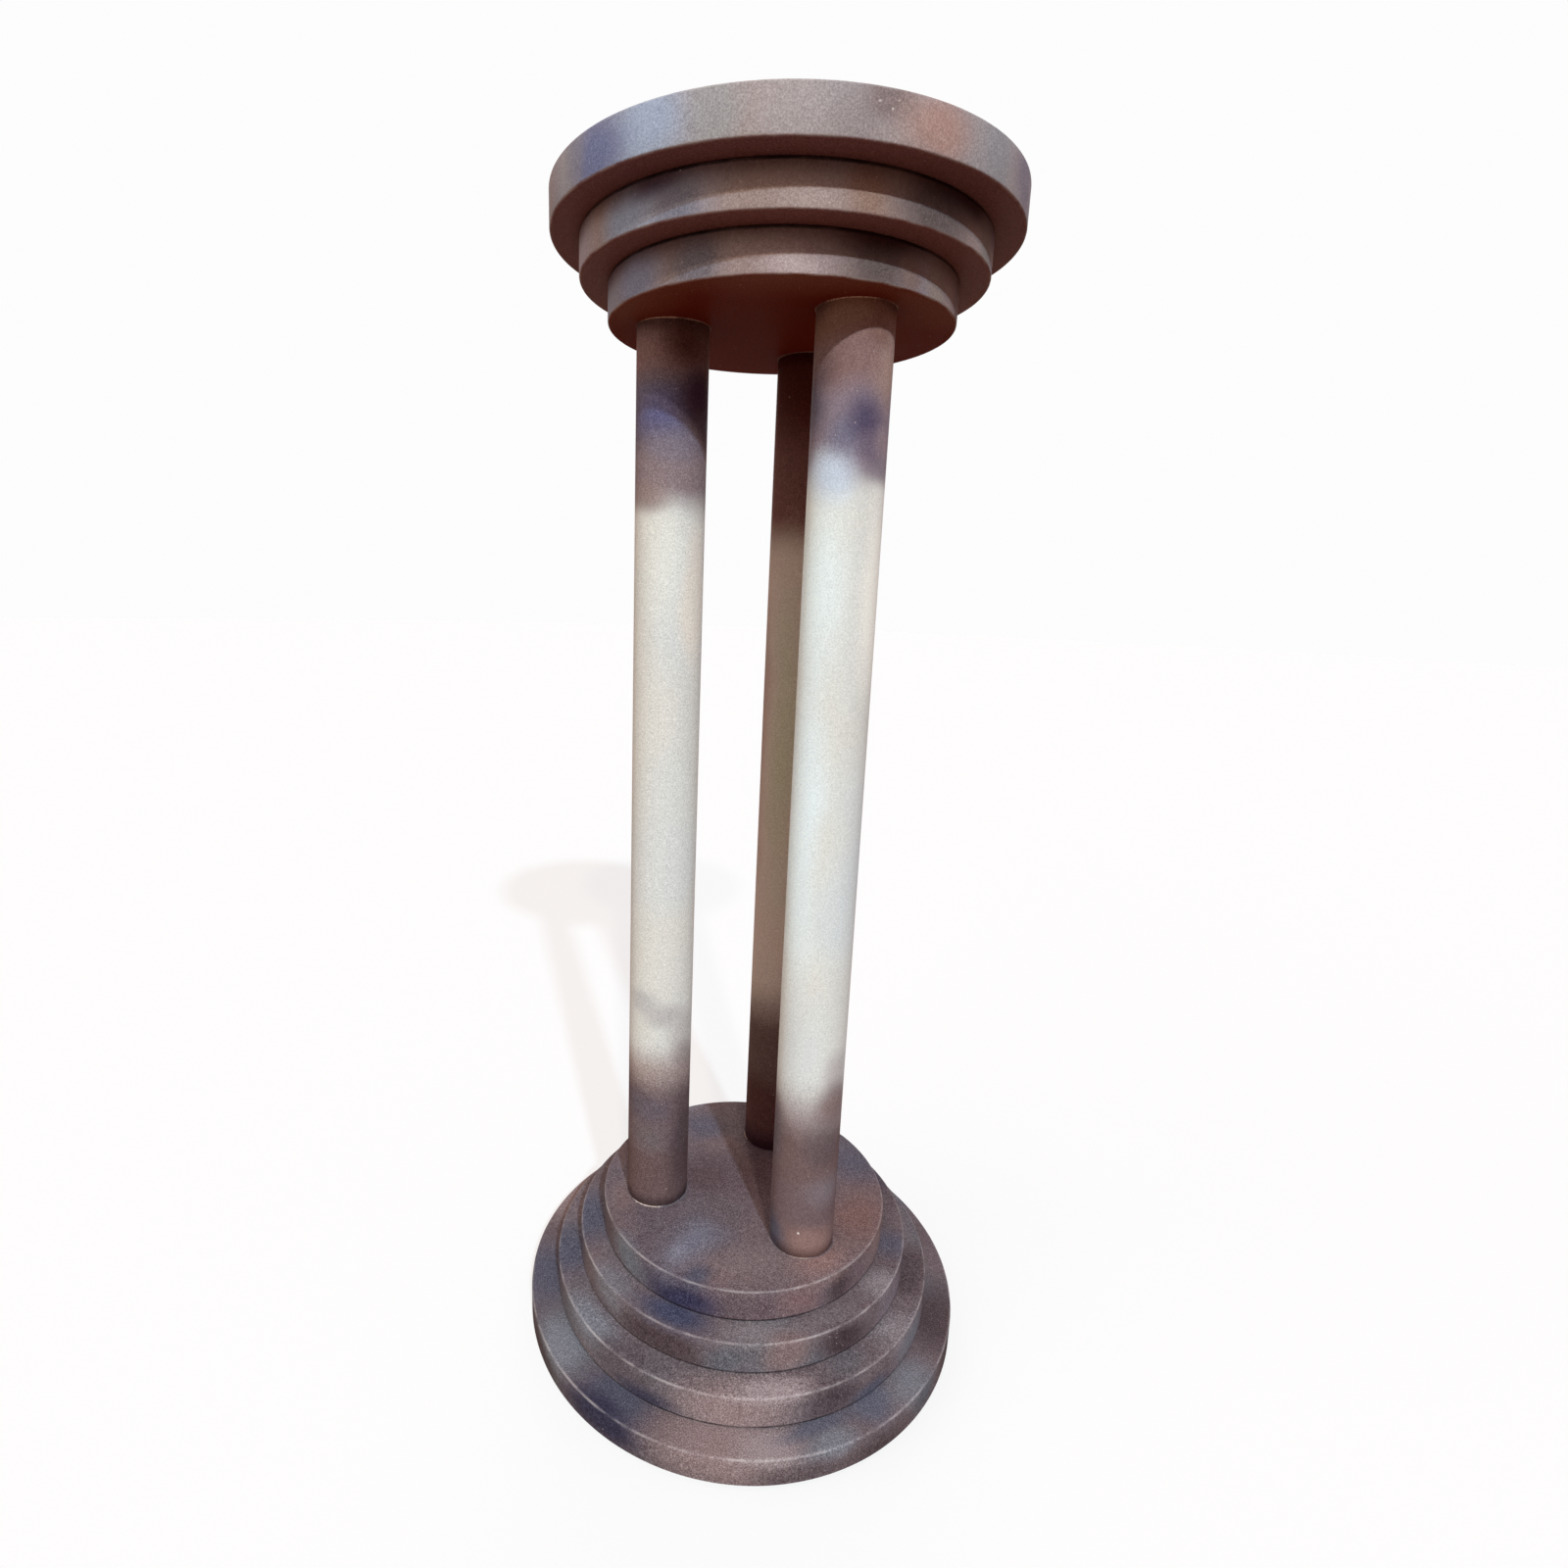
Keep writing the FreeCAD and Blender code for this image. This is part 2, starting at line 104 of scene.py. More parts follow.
WORN_AND_HIGHLIT_RIM = (206, 198, 197)


def node(tree, kind, inputs, **settings):
    made = tree.nodes.new("ShaderNode" + kind)
    for setting, value in settings.items():
        setattr(made, setting, value)
    for socket, value in inputs.items():
        if isinstance(value, bpy.types.NodeSocket):
            tree.links.new(value, made.inputs[socket])
        else:
            made.inputs[socket].default_value = value
    return made


def remap(tree, value, low, high, new_low=0.0, new_high=1.0, eased=False):
    """Carries a value from one range over to another, straight or eased at both ends."""
    mapped = node(tree, "MapRange", {"Value": value, "From Min": low, "From Max": high,
                                     "To Min": new_low, "To Max": new_high})
    if eased:
        mapped.interpolation_type = "SMOOTHSTEP"
    return mapped.outputs["Result"]


def calculate(tree, operation, *values):
    return node(tree, "Math", dict(enumerate(values)), operation=operation).outputs["Value"]


def blend(tree, cover, under, over):
    mixed = node(tree, "MixRGB", {"Fac": cover, "Color1": under, "Color2": over})
    return mixed.outputs["Color"]


def tint(red, green, blue):
    parts = [channel / 255 for channel in (red, green, blue)]
    return [((part + 0.055) / 1.055) ** 2.4 for part in parts] + [1]


def new_material(name):
    material = bpy.data.materials.new(name)
    material.use_nodes = True
    tree = material.node_tree
    shader = tree.nodes["Principled BSDF"]
    place = node(tree, "TexCoord", {}).outputs["Object"]
    return material, tree, shader, place


def around(angle, radius, height):
    """A spot so many millimetres from the stand's axis and above its foot, and the way it faces."""
    turn = math.radians(angle)
    centre = (radius * MM * math.cos(turn), radius * MM * math.sin(turn), height * MM)
    return centre, turn


def spray_cloud(tree, coat, place, grain, colour, spot, reach, cover, soft=0.66):
    """One burst of the airbrush, which thins out to half of its cover at its reach."""
    centre, turn = spot
    local = node(tree, "Mapping", {"Vector": place, "Location": centre, "Rotation": (0, 0, turn),
                                   "Scale": [2 * size * MM for size in reach]},
                 vector_type="TEXTURE")
    ball = node(tree, "TexGradient", {"Vector": local.outputs["Vector"]},
                gradient_type="SPHERICAL")
    dusty = calculate(tree, "ADD", ball.outputs["Fac"], grain)
    mask = remap(tree, dusty, 0.5 - soft / 2, 0.5 + soft / 2, 0, cover, eased=True)
    return blend(tree, mask, coat, tint(*colour))


def spray_band(tree, coat, height, grain, colour, start, full, cover):
    """A coat that thickens from one height to another, all round."""
    level = calculate(tree, "MULTIPLY_ADD", grain, BAND_FRAYING, height)
    mask = remap(tree, level, start * MM, full * MM, 0, cover, eased=True)
    return blend(tree, mask, coat, tint(*colour))


def spray_paint(name, cool, main, warm, clouds, bands=(), ledge_shade_bands=(), underside=None,
                underside_shine=None, overspray=(), grit=0.34, seed=0.0):
    """Matte paint, sprayed in soft clouds, with a sandy grain and pale flecks."""
    material, tree, shader, place = new_material(name)
    sand = node(tree, "TexNoise", {"Vector": place, "Scale": SAND_SCALE, "Detail": 3,
                                   "Roughness": 0.7}).outputs["Fac"]
    coarse = node(tree, "TexNoise", {"Vector": place, "Scale": COARSE_SCALE,
                                     "Detail": 2}).outputs["Fac"]
    rubbed = node(tree, "TexNoise", {"Vector": place, "Scale": RUBBED_SCALE,
                                     "Detail": 4}).outputs["Fac"]
    grain = remap(tree, sand, 0.3, 0.7, -grit / 3, grit / 3)

    # The clouds' outlines wander a little from the true shapes.
    drift = node(tree, "TexNoise", {"Vector": place, "Scale": DRIFT_SCALE, "Detail": 2})
    steady = node(tree, "VectorMath", {0: drift.outputs["Color"], 1: [CLOUD_DRIFT] * 3, 2: place},
                  operation="MULTIPLY_ADD")
    steady = node(tree, "VectorMath", {0: steady.outputs[0], 1: [CLOUD_DRIFT / 2] * 3},
                  operation="SUBTRACT").outputs[0]
    height = node(tree, "SeparateXYZ", {"Vector": steady}).outputs["Z"]
    mottle = node(tree, "TexNoise", {"Vector": steady, "Scale": MOTTLE_SCALE, "Detail": 1,
                                     "W": seed}, noise_dimensions="4D")
    ramp = node(tree, "ValToRGB", {"Fac": mottle.outputs["Fac"]})
    ramp.color_ramp.elements[0].position = 0.34
    ramp.color_ramp.elements[0].color = tint(*cool)
    ramp.color_ramp.elements[1].position = 0.66
    ramp.color_ramp.elements[1].color = tint(*warm)
    ramp.color_ramp.elements.new(0.5).color = tint(*main)
    coat = ramp.outputs["Color"]
    for band in bands:
        coat = spray_band(tree, coat, height, grain, *band)
    for cloud in clouds:
        coat = spray_cloud(tree, coat, steady, grain, *cloud)
    # Bands laid over the clouds: painted shade in the corner under a ledge.
    for band in ledge_shade_bands:
        coat = spray_band(tree, coat, height, grain, *band)
    shader.inputs["Specular IOR Level"].default_value = PAINT_SHINE
    # Downward faces take the underside colour: partly paint and partly painted shade.
    if underside:
        normal = node(tree, "NewGeometry", {}).outputs["Normal"]
        facing = node(tree, "SeparateXYZ", {"Vector": normal}).outputs["Z"]
        below = remap(tree, facing, -0.2, -0.9, eased=True)
        underside_coat_and_shade = tint(*underside)
        for cloud in overspray:
            underside_coat_and_shade = spray_cloud(tree, underside_coat_and_shade, steady, grain, *cloud)
        coat = blend(tree, below, coat, underside_coat_and_shade)
        if underside_shine is not None:
            shine = remap(tree, below, 0, 1, PAINT_SHINE, underside_shine)
            tree.links.new(shine, shader.inputs["Specular IOR Level"])

    # The grain lightens and darkens the paint, and the joint with the next board is darkened:
    # grime and painted shade.
    seam = node(tree, "Attribute", {}, attribute_name="seam").outputs["Fac"]
    joint_dirt_and_shade = calculate(tree, "MULTIPLY", seam, remap(tree, rubbed, 0.35, 0.6, 0.5, 0.85))
    joint_lightness = remap(tree, joint_dirt_and_shade, 0, 1, 1, 0)
    shade = calculate(tree, "MULTIPLY", remap(tree, sand, 0.3, 0.7, 1 - grit, 1 + grit), joint_lightness)
    coarse_depth = remap(tree, coarse, 0.3, 0.7, 1 + grit / 4, 1 - grit / 4)
    sand_depth = remap(tree, sand, 0.3, 0.7, 1 + 0.8 * grit, 1 - 0.8 * grit)
    depth = calculate(tree, "MULTIPLY", coarse_depth, sand_depth)
    deep = node(tree, "Gamma", {"Color": coat, "Gamma": depth}).outputs["Color"]
    sandy = node(tree, "HueSaturation", {"Value": shade, "Color": deep}).outputs["Color"]

    # Pale flecks lie here and there, and the rims that carry the arris attribute are paler: worn
    # paint and a painted highlight.
    flecks = node(tree, "TexVoronoi", {"Vector": place, "Scale": FLECK_SCALE})
    tiny = remap(tree, flecks.outputs["Distance"], 0.15, 0.08, 0, 0.6)
    kind = node(tree, "SeparateColor", {"Color": flecks.outputs["Color"]}).outputs["Red"]
    fleck = calculate(tree, "MULTIPLY", tiny, calculate(tree, "GREATER_THAN", kind, 0.94))
    flecked = blend(tree, fleck, sandy, tint(*FLECK))
    arris = node(tree, "Attribute", {}, attribute_name="arris").outputs["Fac"]
    wear_and_highlight = calculate(tree, "MULTIPLY", arris, remap(tree, rubbed, 0.4, 0.65, 0.05, 0.5))
    worn_and_highlit = blend(tree, wear_and_highlight, flecked, tint(*WORN_AND_HIGHLIT_RIM))
    tree.links.new(worn_and_highlit, shader.inputs["Base Color"])
    tree.links.new(remap(tree, coarse, 0.3, 0.7, 0.6, 0.75), shader.inputs["Roughness"])
    fine_relief = node(tree, "Bump", {"Height": sand, "Strength": grit,
                                      "Distance": PAINT_RELIEF}).outputs["Normal"]
    relief = node(tree, "Bump", {"Height": coarse, "Strength": grit, "Distance": PAINT_RELIEF,
                                 "Normal": fine_relief}).outputs["Normal"]
    tree.links.new(relief, shader.inputs["Normal"])
    return material


def waver(spot, waves, seed):
    """Slow unevenness, between 0 and 1, with so many waves to the metre across and upwards."""
    across, up = waves
    bend = noise.noise(Vector((spot.x * across, spot.y * across, spot.z * up + seed)))
    return 0.5 + 0.5 * bend


def board_form(node_name, seed, joint=None):
    """A disc as large as the CAD board, with rounded and slightly uneven rims. Its bare rims carry
    the arris attribute, for worn paint and a painted highlight; the rim at its joint carries seam,
    for a darker joint line that is grime and painted shade."""
    low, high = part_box(node_name)
    radius = (high.x - low.x) / 2
    form = bmesh.new()
    arris = form.verts.layers.float.new("arris")
    seam = form.verts.layers.float.new("seam")
    bmesh.ops.create_circle(form, cap_ends=True, radius=radius, segments=BOARD_FACETS,
                            matrix=Matrix.Translation((0, 0, low.z)))
    raised = bmesh.ops.extrude_face_region(form, geom=form.faces[:])
    bmesh.ops.translate(form, vec=(0, 0, high.z - low.z),
                        verts=[v for v in raised["geom"] if isinstance(v, bmesh.types.BMVert)])
    rims = [edge for edge in form.edges if edge.verts[0].co.z == edge.verts[1].co.z]
    bmesh.ops.bevel(form, geom=rims, affect="EDGES", offset=RIM_ROUNDING, segments=RIM_FACETS,
                    profile=0.5, material=-1)
    for vert in form.verts:
        inwards = radius - vert.co.xy.length
        for rim, level in (("low", low.z), ("high", high.z)):
            depth = abs(vert.co.z - level)
            if rim != joint and depth < RIM_ROUNDING:
                vert[arris] = 1 - abs(inwards - depth) / RIM_ROUNDING
    if joint:
        level, step = (low.z, 1) if joint == "low" else (high.z, -1)
        bmesh.ops.bisect_plane(form, geom=form.verts[:] + form.edges[:] + form.faces[:],
                               plane_co=(0, 0, level + step * (RIM_ROUNDING + SEAM_WIDTH)),
                               plane_no=(0, 0, 1))
        for vert in form.verts:
            depth = abs(vert.co.z - level)
            vert[seam] = min(1, max(0, 1 - (depth - RIM_ROUNDING) / SEAM_WIDTH))
    caps = [face for face in form.faces if len(face.verts) > 4]
    bmesh.ops.inset_region(form, faces=caps, thickness=FLAT_MARGIN, use_even_offset=True)
    for vert in form.verts:
        if vert.co.xy.length > radius - RIM_ROUNDING - FLAT_MARGIN / 2:
            vert.co.xy *= 1 - waver(vert.co, RIM_WAVES, seed) * RIM_UNEVENNESS / radius
    return form


def finish_piece(form, name, slot, replaced, *materials):
    """Puts the form in the scene, in place of the CAD nodes that it stands for."""
    mesh = bpy.data.meshes.new(name)
    form.to_mesh(mesh)
    form.free()
    mesh.shade_smooth()
    for material in materials:
        mesh.materials.append(material)
    piece = bpy.data.objects.new(name, mesh)
    bpy.context.scene.collection.objects.link(piece)
    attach(piece, "root")
    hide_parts(*replaced)
    return piece


def sink_screw_holes(form, centres, radius, cone_height, end_radius, recess):
    """Cuts countersunk holes into the lowest face and gives that face the second material."""
    floor_face = min(form.faces, key=lambda face: face.calc_center_median().z)
    level = floor_face.calc_center_median().z
    edges = floor_face.edges[:]
    bmesh.ops.delete(form, geom=[floor_face], context="FACES_ONLY")
    mouths = []
    for centre in centres:
        mouth = bmesh.ops.create_circle(form, radius=radius, segments=HOLE_FACETS,
                                        matrix=Matrix.Translation((centre.x, centre.y, level)))
        mouths.append((centre, list({edge for vert in mouth["verts"] for edge in vert.link_edges})))
    filled = bmesh.ops.triangle_fill(form, use_beauty=True,
                                     edges=edges + [edge for _, mouth in mouths for edge in mouth])
    for face in filled["geom"]:
        if isinstance(face, bmesh.types.BMFace):
            face.material_index = 1
    for centre, ring in mouths:
        for rise, shrink in ((recess, 1.0), (cone_height, end_radius / radius)):
            grown = bmesh.ops.extrude_edge_only(form, edges=ring)["geom"]
            verts = [item for item in grown if isinstance(item, bmesh.types.BMVert)]
            ring = [item for item in grown if isinstance(item, bmesh.types.BMEdge)]
            bmesh.ops.translate(form, verts=verts, vec=(0, 0, rise))
            bmesh.ops.scale(form, verts=verts, vec=(shrink, shrink, 1),
                            space=Matrix.Translation((-centre.x, -centre.y, 0)))
        bmesh.ops.contextual_create(form, geom=ring)
    bmesh.ops.recalc_face_normals(form, faces=form.faces)


def screw_centres():
    turns = [math.tau / SCREW_COUNT * number for number in range(SCREW_COUNT)]
    return [Vector((SCREW_CIRCLE_RADIUS * math.cos(turn), SCREW_CIRCLE_RADIUS * math.sin(turn), 0))
            for turn in turns]


board_1_paint = spray_paint(
    "board_1_paint", cool=ASH, main=MAUVE, warm=BROWN,
    clouds=[
        (SLATE, around(-148, 168, 18), (26, 34, 26), 0.9),
        (BLUE_GREY, around(-123, 167, 26), (13, 24, 12), 1.0),
        (UMBER, around(-130, 178, 8), (9, 34, 12), 0.8),
        (SLATE, around(-102, 166, 24), (18, 30, 12), 1.0),
        (NAVY, around(-103, 179, 14), (9, 40, 13), 0.95),
        (ROSE, around(-72, 166, 24), (26, 42, 20), 1.0),
        ((160, 146, 148), around(-61, 168, 26), (14, 20, 8), 0.9),
        (BROWN, around(-53, 179, 8), (8, 36, 12), 0.8),
        (BLUE_GREY, around(-47, 174, 26), (9, 18, 8), 0.9),
        ((96, 98, 114), around(-48, 160, 26), (6, 26, 8), 0.8),
        ((100, 102, 118), around(-32, 162, 26), (13, 17, 10), 0.9),
        (BLUE_GREY, around(-20, 170, 26), (14, 20, 9), 0.8),
        (UMBER, around(-34, 179, 8), (8, 24, 11), 0.8),
        (SMOKE, around(-18, 179, 14), (6, 16, 10), 0.9),
        (UMBER, around(4, 170, 20), (24, 34, 22), 0.9),
        (SLATE, around(58, 172, 20), (22, 34, 22), 0.85),
        (BLUE_GREY, around(96, 170, 24), (20, 36, 20), 0.85),
        (UMBER, around(140, 172, 16), (22, 36, 22), 0.85),
        (ROSE, around(176, 168, 20), (22, 34, 22), 0.85),
    ])
bare_board, tree, shader, place = new_material("bare_board")
fibres = node(tree, "TexNoise", {"Vector": place, "Scale": 420, "Detail": 5, "Roughness": 0.7})
stains = node(tree, "TexNoise", {"Vector": place, "Scale": 18, "Detail": 3})
board_tone = node(tree, "ValToRGB", {"Fac": fibres.outputs["Fac"]})
board_tone.color_ramp.elements[0].position = 0.32
board_tone.color_ramp.elements[0].color = tint(126, 98, 70)
board_tone.color_ramp.elements[1].position = 0.68
board_tone.color_ramp.elements[1].color = tint(178, 150, 114)
across = node(tree, "VectorMath", {0: place, 1: (1, 1, 0)}, operation="MULTIPLY")
spread = node(tree, "VectorMath", {0: across.outputs[0]}, operation="LENGTH")
rough_rim = calculate(tree, "MULTIPLY_ADD", stains.outputs["Fac"], 40 * MM,
                      spread.outputs["Value"])
overspray = remap(tree, rough_rim, 172 * MM, 200 * MM, 0, 0.9, eased=True)
board_mix = blend(tree, overspray, board_tone.outputs["Color"], tint(104, 90, 96))
tree.links.new(board_mix, shader.inputs["Base Color"])
shader.inputs["Roughness"].default_value = 0.85
board_bump = node(tree, "Bump", {"Height": fibres.outputs["Fac"], "Strength": 0.4,
                                 "Distance": 0.3 * MM})
tree.links.new(board_bump.outputs["Normal"], shader.inputs["Normal"])

form = board_form("base_disc_1", seed=1.0)
sink_screw_holes(form, screw_centres(), SCREW_HEAD_RADIUS + HOLE_PLAY, SCREW_HEAD_HEIGHT,
                 SCREW_SHANK_RADIUS + HOLE_PLAY, SCREW_RECESS)
finish_piece(form, "lowest_base_board", "painted_board", ["base_disc_1"], board_1_paint, bare_board)


# Floor glides: six nylon buttons, each held under base board 1 by a nail through its middle. They
# are moulded, a little yellowed, and scuffed where they stand on the floor.
glide_nylon, tree, shader, place = new_material("glide_nylon")
scuffs = node(tree, "TexNoise", {"Vector": place, "Scale": 300, "Detail": 5, "Roughness": 0.75})
yellowing = node(tree, "TexNoise", {"Vector": place, "Scale": 30, "Detail": 2})
nylon_tone = blend(tree, yellowing.outputs["Fac"], tint(228, 224, 212), tint(206, 196, 172))
scuffed = remap(tree, scuffs.outputs["Fac"], 0.56, 0.7, 0, 0.6)
nylon_mix = blend(tree, scuffed, nylon_tone, tint(120, 112, 104))
tree.links.new(nylon_mix, shader.inputs["Base Color"])
nylon_rough = remap(tree, scuffs.outputs["Fac"], 0, 1, 0.3, 0.6)
tree.links.new(nylon_rough, shader.inputs["Roughness"])
shader.inputs["Subsurface Weight"].default_value = 0.1
shader.inputs["Subsurface Radius"].default_value = (2 * MM, 2 * MM, 1.5 * MM)


def give_material(node_name, material):
    """Shows a CAD node as it is, in one material."""
    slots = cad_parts[node_name].data.materials
    slots.clear()
    slots.append(material)


give_material("floor_glides", glide_nylon)


# Screws and nails: bright zinc-plated steel, dulled a little where a driver or hammer met them.
# Only the six screws under base board 1 show, so they get their cross recess; the others are
# inside the boards and plugs.
SCREW_POINT_LENGTH = 6 * MM
SCREW_POINT_RADIUS = 0.3 * MM
RECESS_DEPTH = 2.2 * MM
RECESS_TAPER = 0.45
RECESS_REACH = (2.5, 2.4, 1.2, 0.9, 0.9, 0.9, 1.2, 2.4)

zinc, tree, shader, place = new_material("zinc")
brushed = node(tree, "TexNoise", {"Vector": place, "Scale": 900, "Detail": 3})
spots = node(tree, "TexNoise", {"Vector": place, "Scale": 120, "Detail": 4})
zinc_tone = blend(tree, spots.outputs["Fac"], tint(206, 205, 198), tint(168, 166, 158))
tree.links.new(zinc_tone, shader.inputs["Base Color"])
shader.inputs["Metallic"].default_value = 1.0
zinc_rough = remap(tree, brushed.outputs["Fac"], 0, 1, 0.22, 0.5)
tree.links.new(zinc_rough, shader.inputs["Roughness"])
for node_name in ("base_screws_2", "base_screws_3", "capital_screws", "lower_plug_screws",
                  "upper_plug_screws", "glide_nails"):
    give_material(node_name, zinc)


def grow_ring(form, ring, centre, rise, widths):
    """Extrudes a ring of edges upwards and sets each corner's distance from the middle."""
    grown = bmesh.ops.extrude_edge_only(form, edges=ring)["geom"]
    verts = [item for item in grown if isinstance(item, bmesh.types.BMVert)]
    for vert in verts:
        out = vert.co.xy - centre.xy
        corner = round(math.atan2(out.y, out.x) / math.tau * HOLE_FACETS)
        vert.co.xy = centre.xy + out.normalized() * widths[corner % len(widths)]
    bmesh.ops.translate(form, verts=verts, vec=(0, 0, rise))
    return [item for item in grown if isinstance(item, bmesh.types.BMEdge)]


screw_low, screw_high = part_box("base_screws_1")
shank_length = screw_high.z - screw_low.z - SCREW_HEAD_HEIGHT - SCREW_POINT_LENGTH
form = bmesh.new()
cross = [width * MM for width in RECESS_REACH]
for centre in screw_centres():
    mouth = bmesh.ops.create_circle(form, radius=SCREW_HEAD_RADIUS, segments=HOLE_FACETS,
                                    matrix=Matrix.Translation((centre.x, centre.y, screw_low.z)))
    rim = list({edge for vert in mouth["verts"] for edge in vert.link_edges})
    recess = grow_ring(form, rim, centre, 0, cross)
    recess = grow_ring(form, recess, centre, RECESS_DEPTH, [width * RECESS_TAPER for width in cross])
    bmesh.ops.contextual_create(form, geom=recess)
    shaft = grow_ring(form, rim, centre, SCREW_HEAD_HEIGHT, [SCREW_SHANK_RADIUS])
    shaft = grow_ring(form, shaft, centre, shank_length, [SCREW_SHANK_RADIUS])
    shaft = grow_ring(form, shaft, centre, SCREW_POINT_LENGTH, [SCREW_POINT_RADIUS])
    bmesh.ops.contextual_create(form, geom=shaft)
bmesh.ops.recalc_face_normals(form, faces=form.faces)
finish_piece(form, "lowest_board_screws", "zinc_steel", ["base_screws_1"], zinc)


# Base board 2: the first step up, one inch board, glued and screwed on base board 1. Its ledge
# shows all round, with a pale rim: rubbed paint and a painted highlight.
board_2_paint = spray_paint(
    "board_2_paint", cool=ASH, main=MAUVE, warm=BROWN,
    clouds=[
        (SLATE, around(-146, 148, 44), (22, 28, 24), 1.0),
        (BLUE_GREY, around(-117, 150, 50), (12, 24, 16), 1.0),
        ((94, 84, 90), around(-102, 154, 38), (14, 30, 18), 1.0),
        (NAVY, around(-93, 156, 27), (8, 26, 8), 0.8),
        (ROSE, around(-70, 154, 38), (18, 38, 22), 0.95),
        ((164, 148, 150), around(-59, 149, 52), (11, 26, 7), 1.0),
        ((80, 68, 73), around(-43, 157, 38), (8, 20, 14), 1.0),
        (ASH, around(-36, 146, 50), (10, 16, 6), 0.8),
        (SLATE, around(-31, 157, 29), (8, 16, 8), 0.9),
        (DOVE, around(-17, 148, 50), (12, 16, 8), 0.9),
        ((120, 118, 126), around(-10, 157, 38), (8, 24, 13), 1.0),
        (UMBER, around(12, 148, 46), (16, 20, 20), 0.7),
        (UMBER, around(3, 144, 50), (12, 12, 7), 0.7),
        (NAVY, around(66, 150, 44), (18, 28, 22), 0.7),
        (ROSE, around(108, 150, 44), (18, 32, 22), 0.9),
        (BLUE_GREY, around(160, 150, 44), (18, 34, 22), 0.85),
    ], seed=2.0)
finish_piece(board_form("base_disc_2", seed=2.0, joint="low"), "second_base_board", "painted_board",
             ["base_disc_2"], board_2_paint)


# Base board 3: the next step. The screws that hold it come up through base board 2, and were driven
# before board 2 went on board 1, so that none of them shows.
board_3_paint = spray_paint(
    "board_3_paint", cool=ASH, main=MAUVE, warm=BROWN,
    clouds=[
        (SLATE, around(-150, 130, 68), (22, 28, 24), 1.0),
        (BLUE_GREY, around(-117, 132, 72), (14, 18, 16), 0.6),
        (UMBER, around(-95, 138, 62), (9, 38, 14), 1.0),
        ((72, 74, 98), around(-93, 126, 76), (11, 27, 8), 1.0),
        ((134, 126, 130), around(-61, 128, 77), (10, 28, 7), 0.9),
        ((94, 94, 102), around(-73, 138, 61), (8, 16, 13), 0.9),
        ((132, 110, 110), around(-54, 137, 64), (9, 16, 16), 0.9),
        ((72, 57, 62), around(-35, 138, 62), (9, 19, 14), 1.0),
        ((118, 108, 112), around(-36, 127, 76), (9, 18, 6), 0.8),
        (DOVE, around(-13, 129, 76), (12, 14, 9), 0.9),
        ((126, 114, 122), around(-8, 138, 60), (7, 24, 12), 0.9),
        (SLATE, around(7, 127, 72), (14, 14, 18), 0.8),
        (NAVY, around(48, 130, 66), (18, 24, 20), 0.7),
        (ROSE, around(92, 130, 66), (18, 28, 20), 0.85),
        (BLUE_GREY, around(145, 130, 66), (18, 28, 20), 0.85),
    ], seed=3.0)
finish_piece(board_form("base_disc_3", seed=3.0, joint="low"), "third_base_board", "painted_board",
             ["base_disc_3"], board_3_paint)


# Base board 4, the smallest: the columns stand on it. It was sprayed with the columns in place, so
# brown and blue-violet clouds gather round their feet.
board_4_paint = spray_paint(
    "board_4_paint", cool=(98, 90, 99), main=(106, 93, 99), warm=(114, 95, 99),
    clouds=[
        (BROWN, around(-136, 118, 88), (9, 16, 14), 0.7),
        ((108, 110, 118), around(-118, 119, 88), (9, 22, 14), 1.0),
        ((52, 50, 76), around(-91, 120, 87), (10, 37, 16), 1.0, 0.8),
        (BROWN, around(-71, 119, 86), (8, 11, 14), 0.8),
        ((92, 76, 82), around(-61, 119, 87), (8, 9, 14), 0.6),
        ((124, 98, 100), around(-46, 119, 90), (9, 18, 14), 1.0),
        (UMBER, around(-29, 119, 88), (8, 11, 14), 1.0),
        ((132, 112, 112), around(-4, 119, 88), (9, 22, 14), 1.0),
        ((124, 108, 110), around(-58, 92, 101), (20, 42, 9), 0.9, 0.9),
        ((148, 118, 114), around(-34, 98, 101), (15, 20, 8), 0.9, 0.9),
        ((126, 96, 92), around(2, 96, 101), (24, 34, 9), 1.0, 0.9),
        (SLATE, around(42, 106, 101), (20, 22, 9), 0.8, 0.9),
        ((116, 115, 130), around(-97, 82, 101), (28, 15, 9), 0.95, 0.9),
        ((136, 136, 150), around(-100, 96, 101), (11, 7, 7), 0.7),
        (SLATE, around(-85, 110, 101), (10, 9, 7), 0.9),
        ((118, 98, 100), around(138, 52, 101), (13, 15, 8), 0.8, 0.9),
        ((92, 76, 82), around(180, 18, 101), (28, 28, 9), 0.6, 0.9),
        ((126, 104, 104), around(-145, 104, 101), (10, 16, 8), 0.8, 0.9),
        (SLATE, around(139, 84, 101), (13, 15, 8), 0.7, 0.9),
        ((90, 70, 74), around(-166, 36, 101), (16, 20, 9), 0.9, 0.9),
        (BROWN, around(-100, 42, 101), (12, 20, 8), 0.6),
        (NAVY, around(88, 118, 88), (10, 24, 15), 0.8),
        (BLUE_GREY, around(140, 118, 88), (10, 26, 15), 0.8),
    ], seed=4.0)
finish_piece(board_form("base_disc_4", seed=4.0, joint="low"), "top_base_board", "painted_board",
             ["base_disc_4"], board_4_paint)


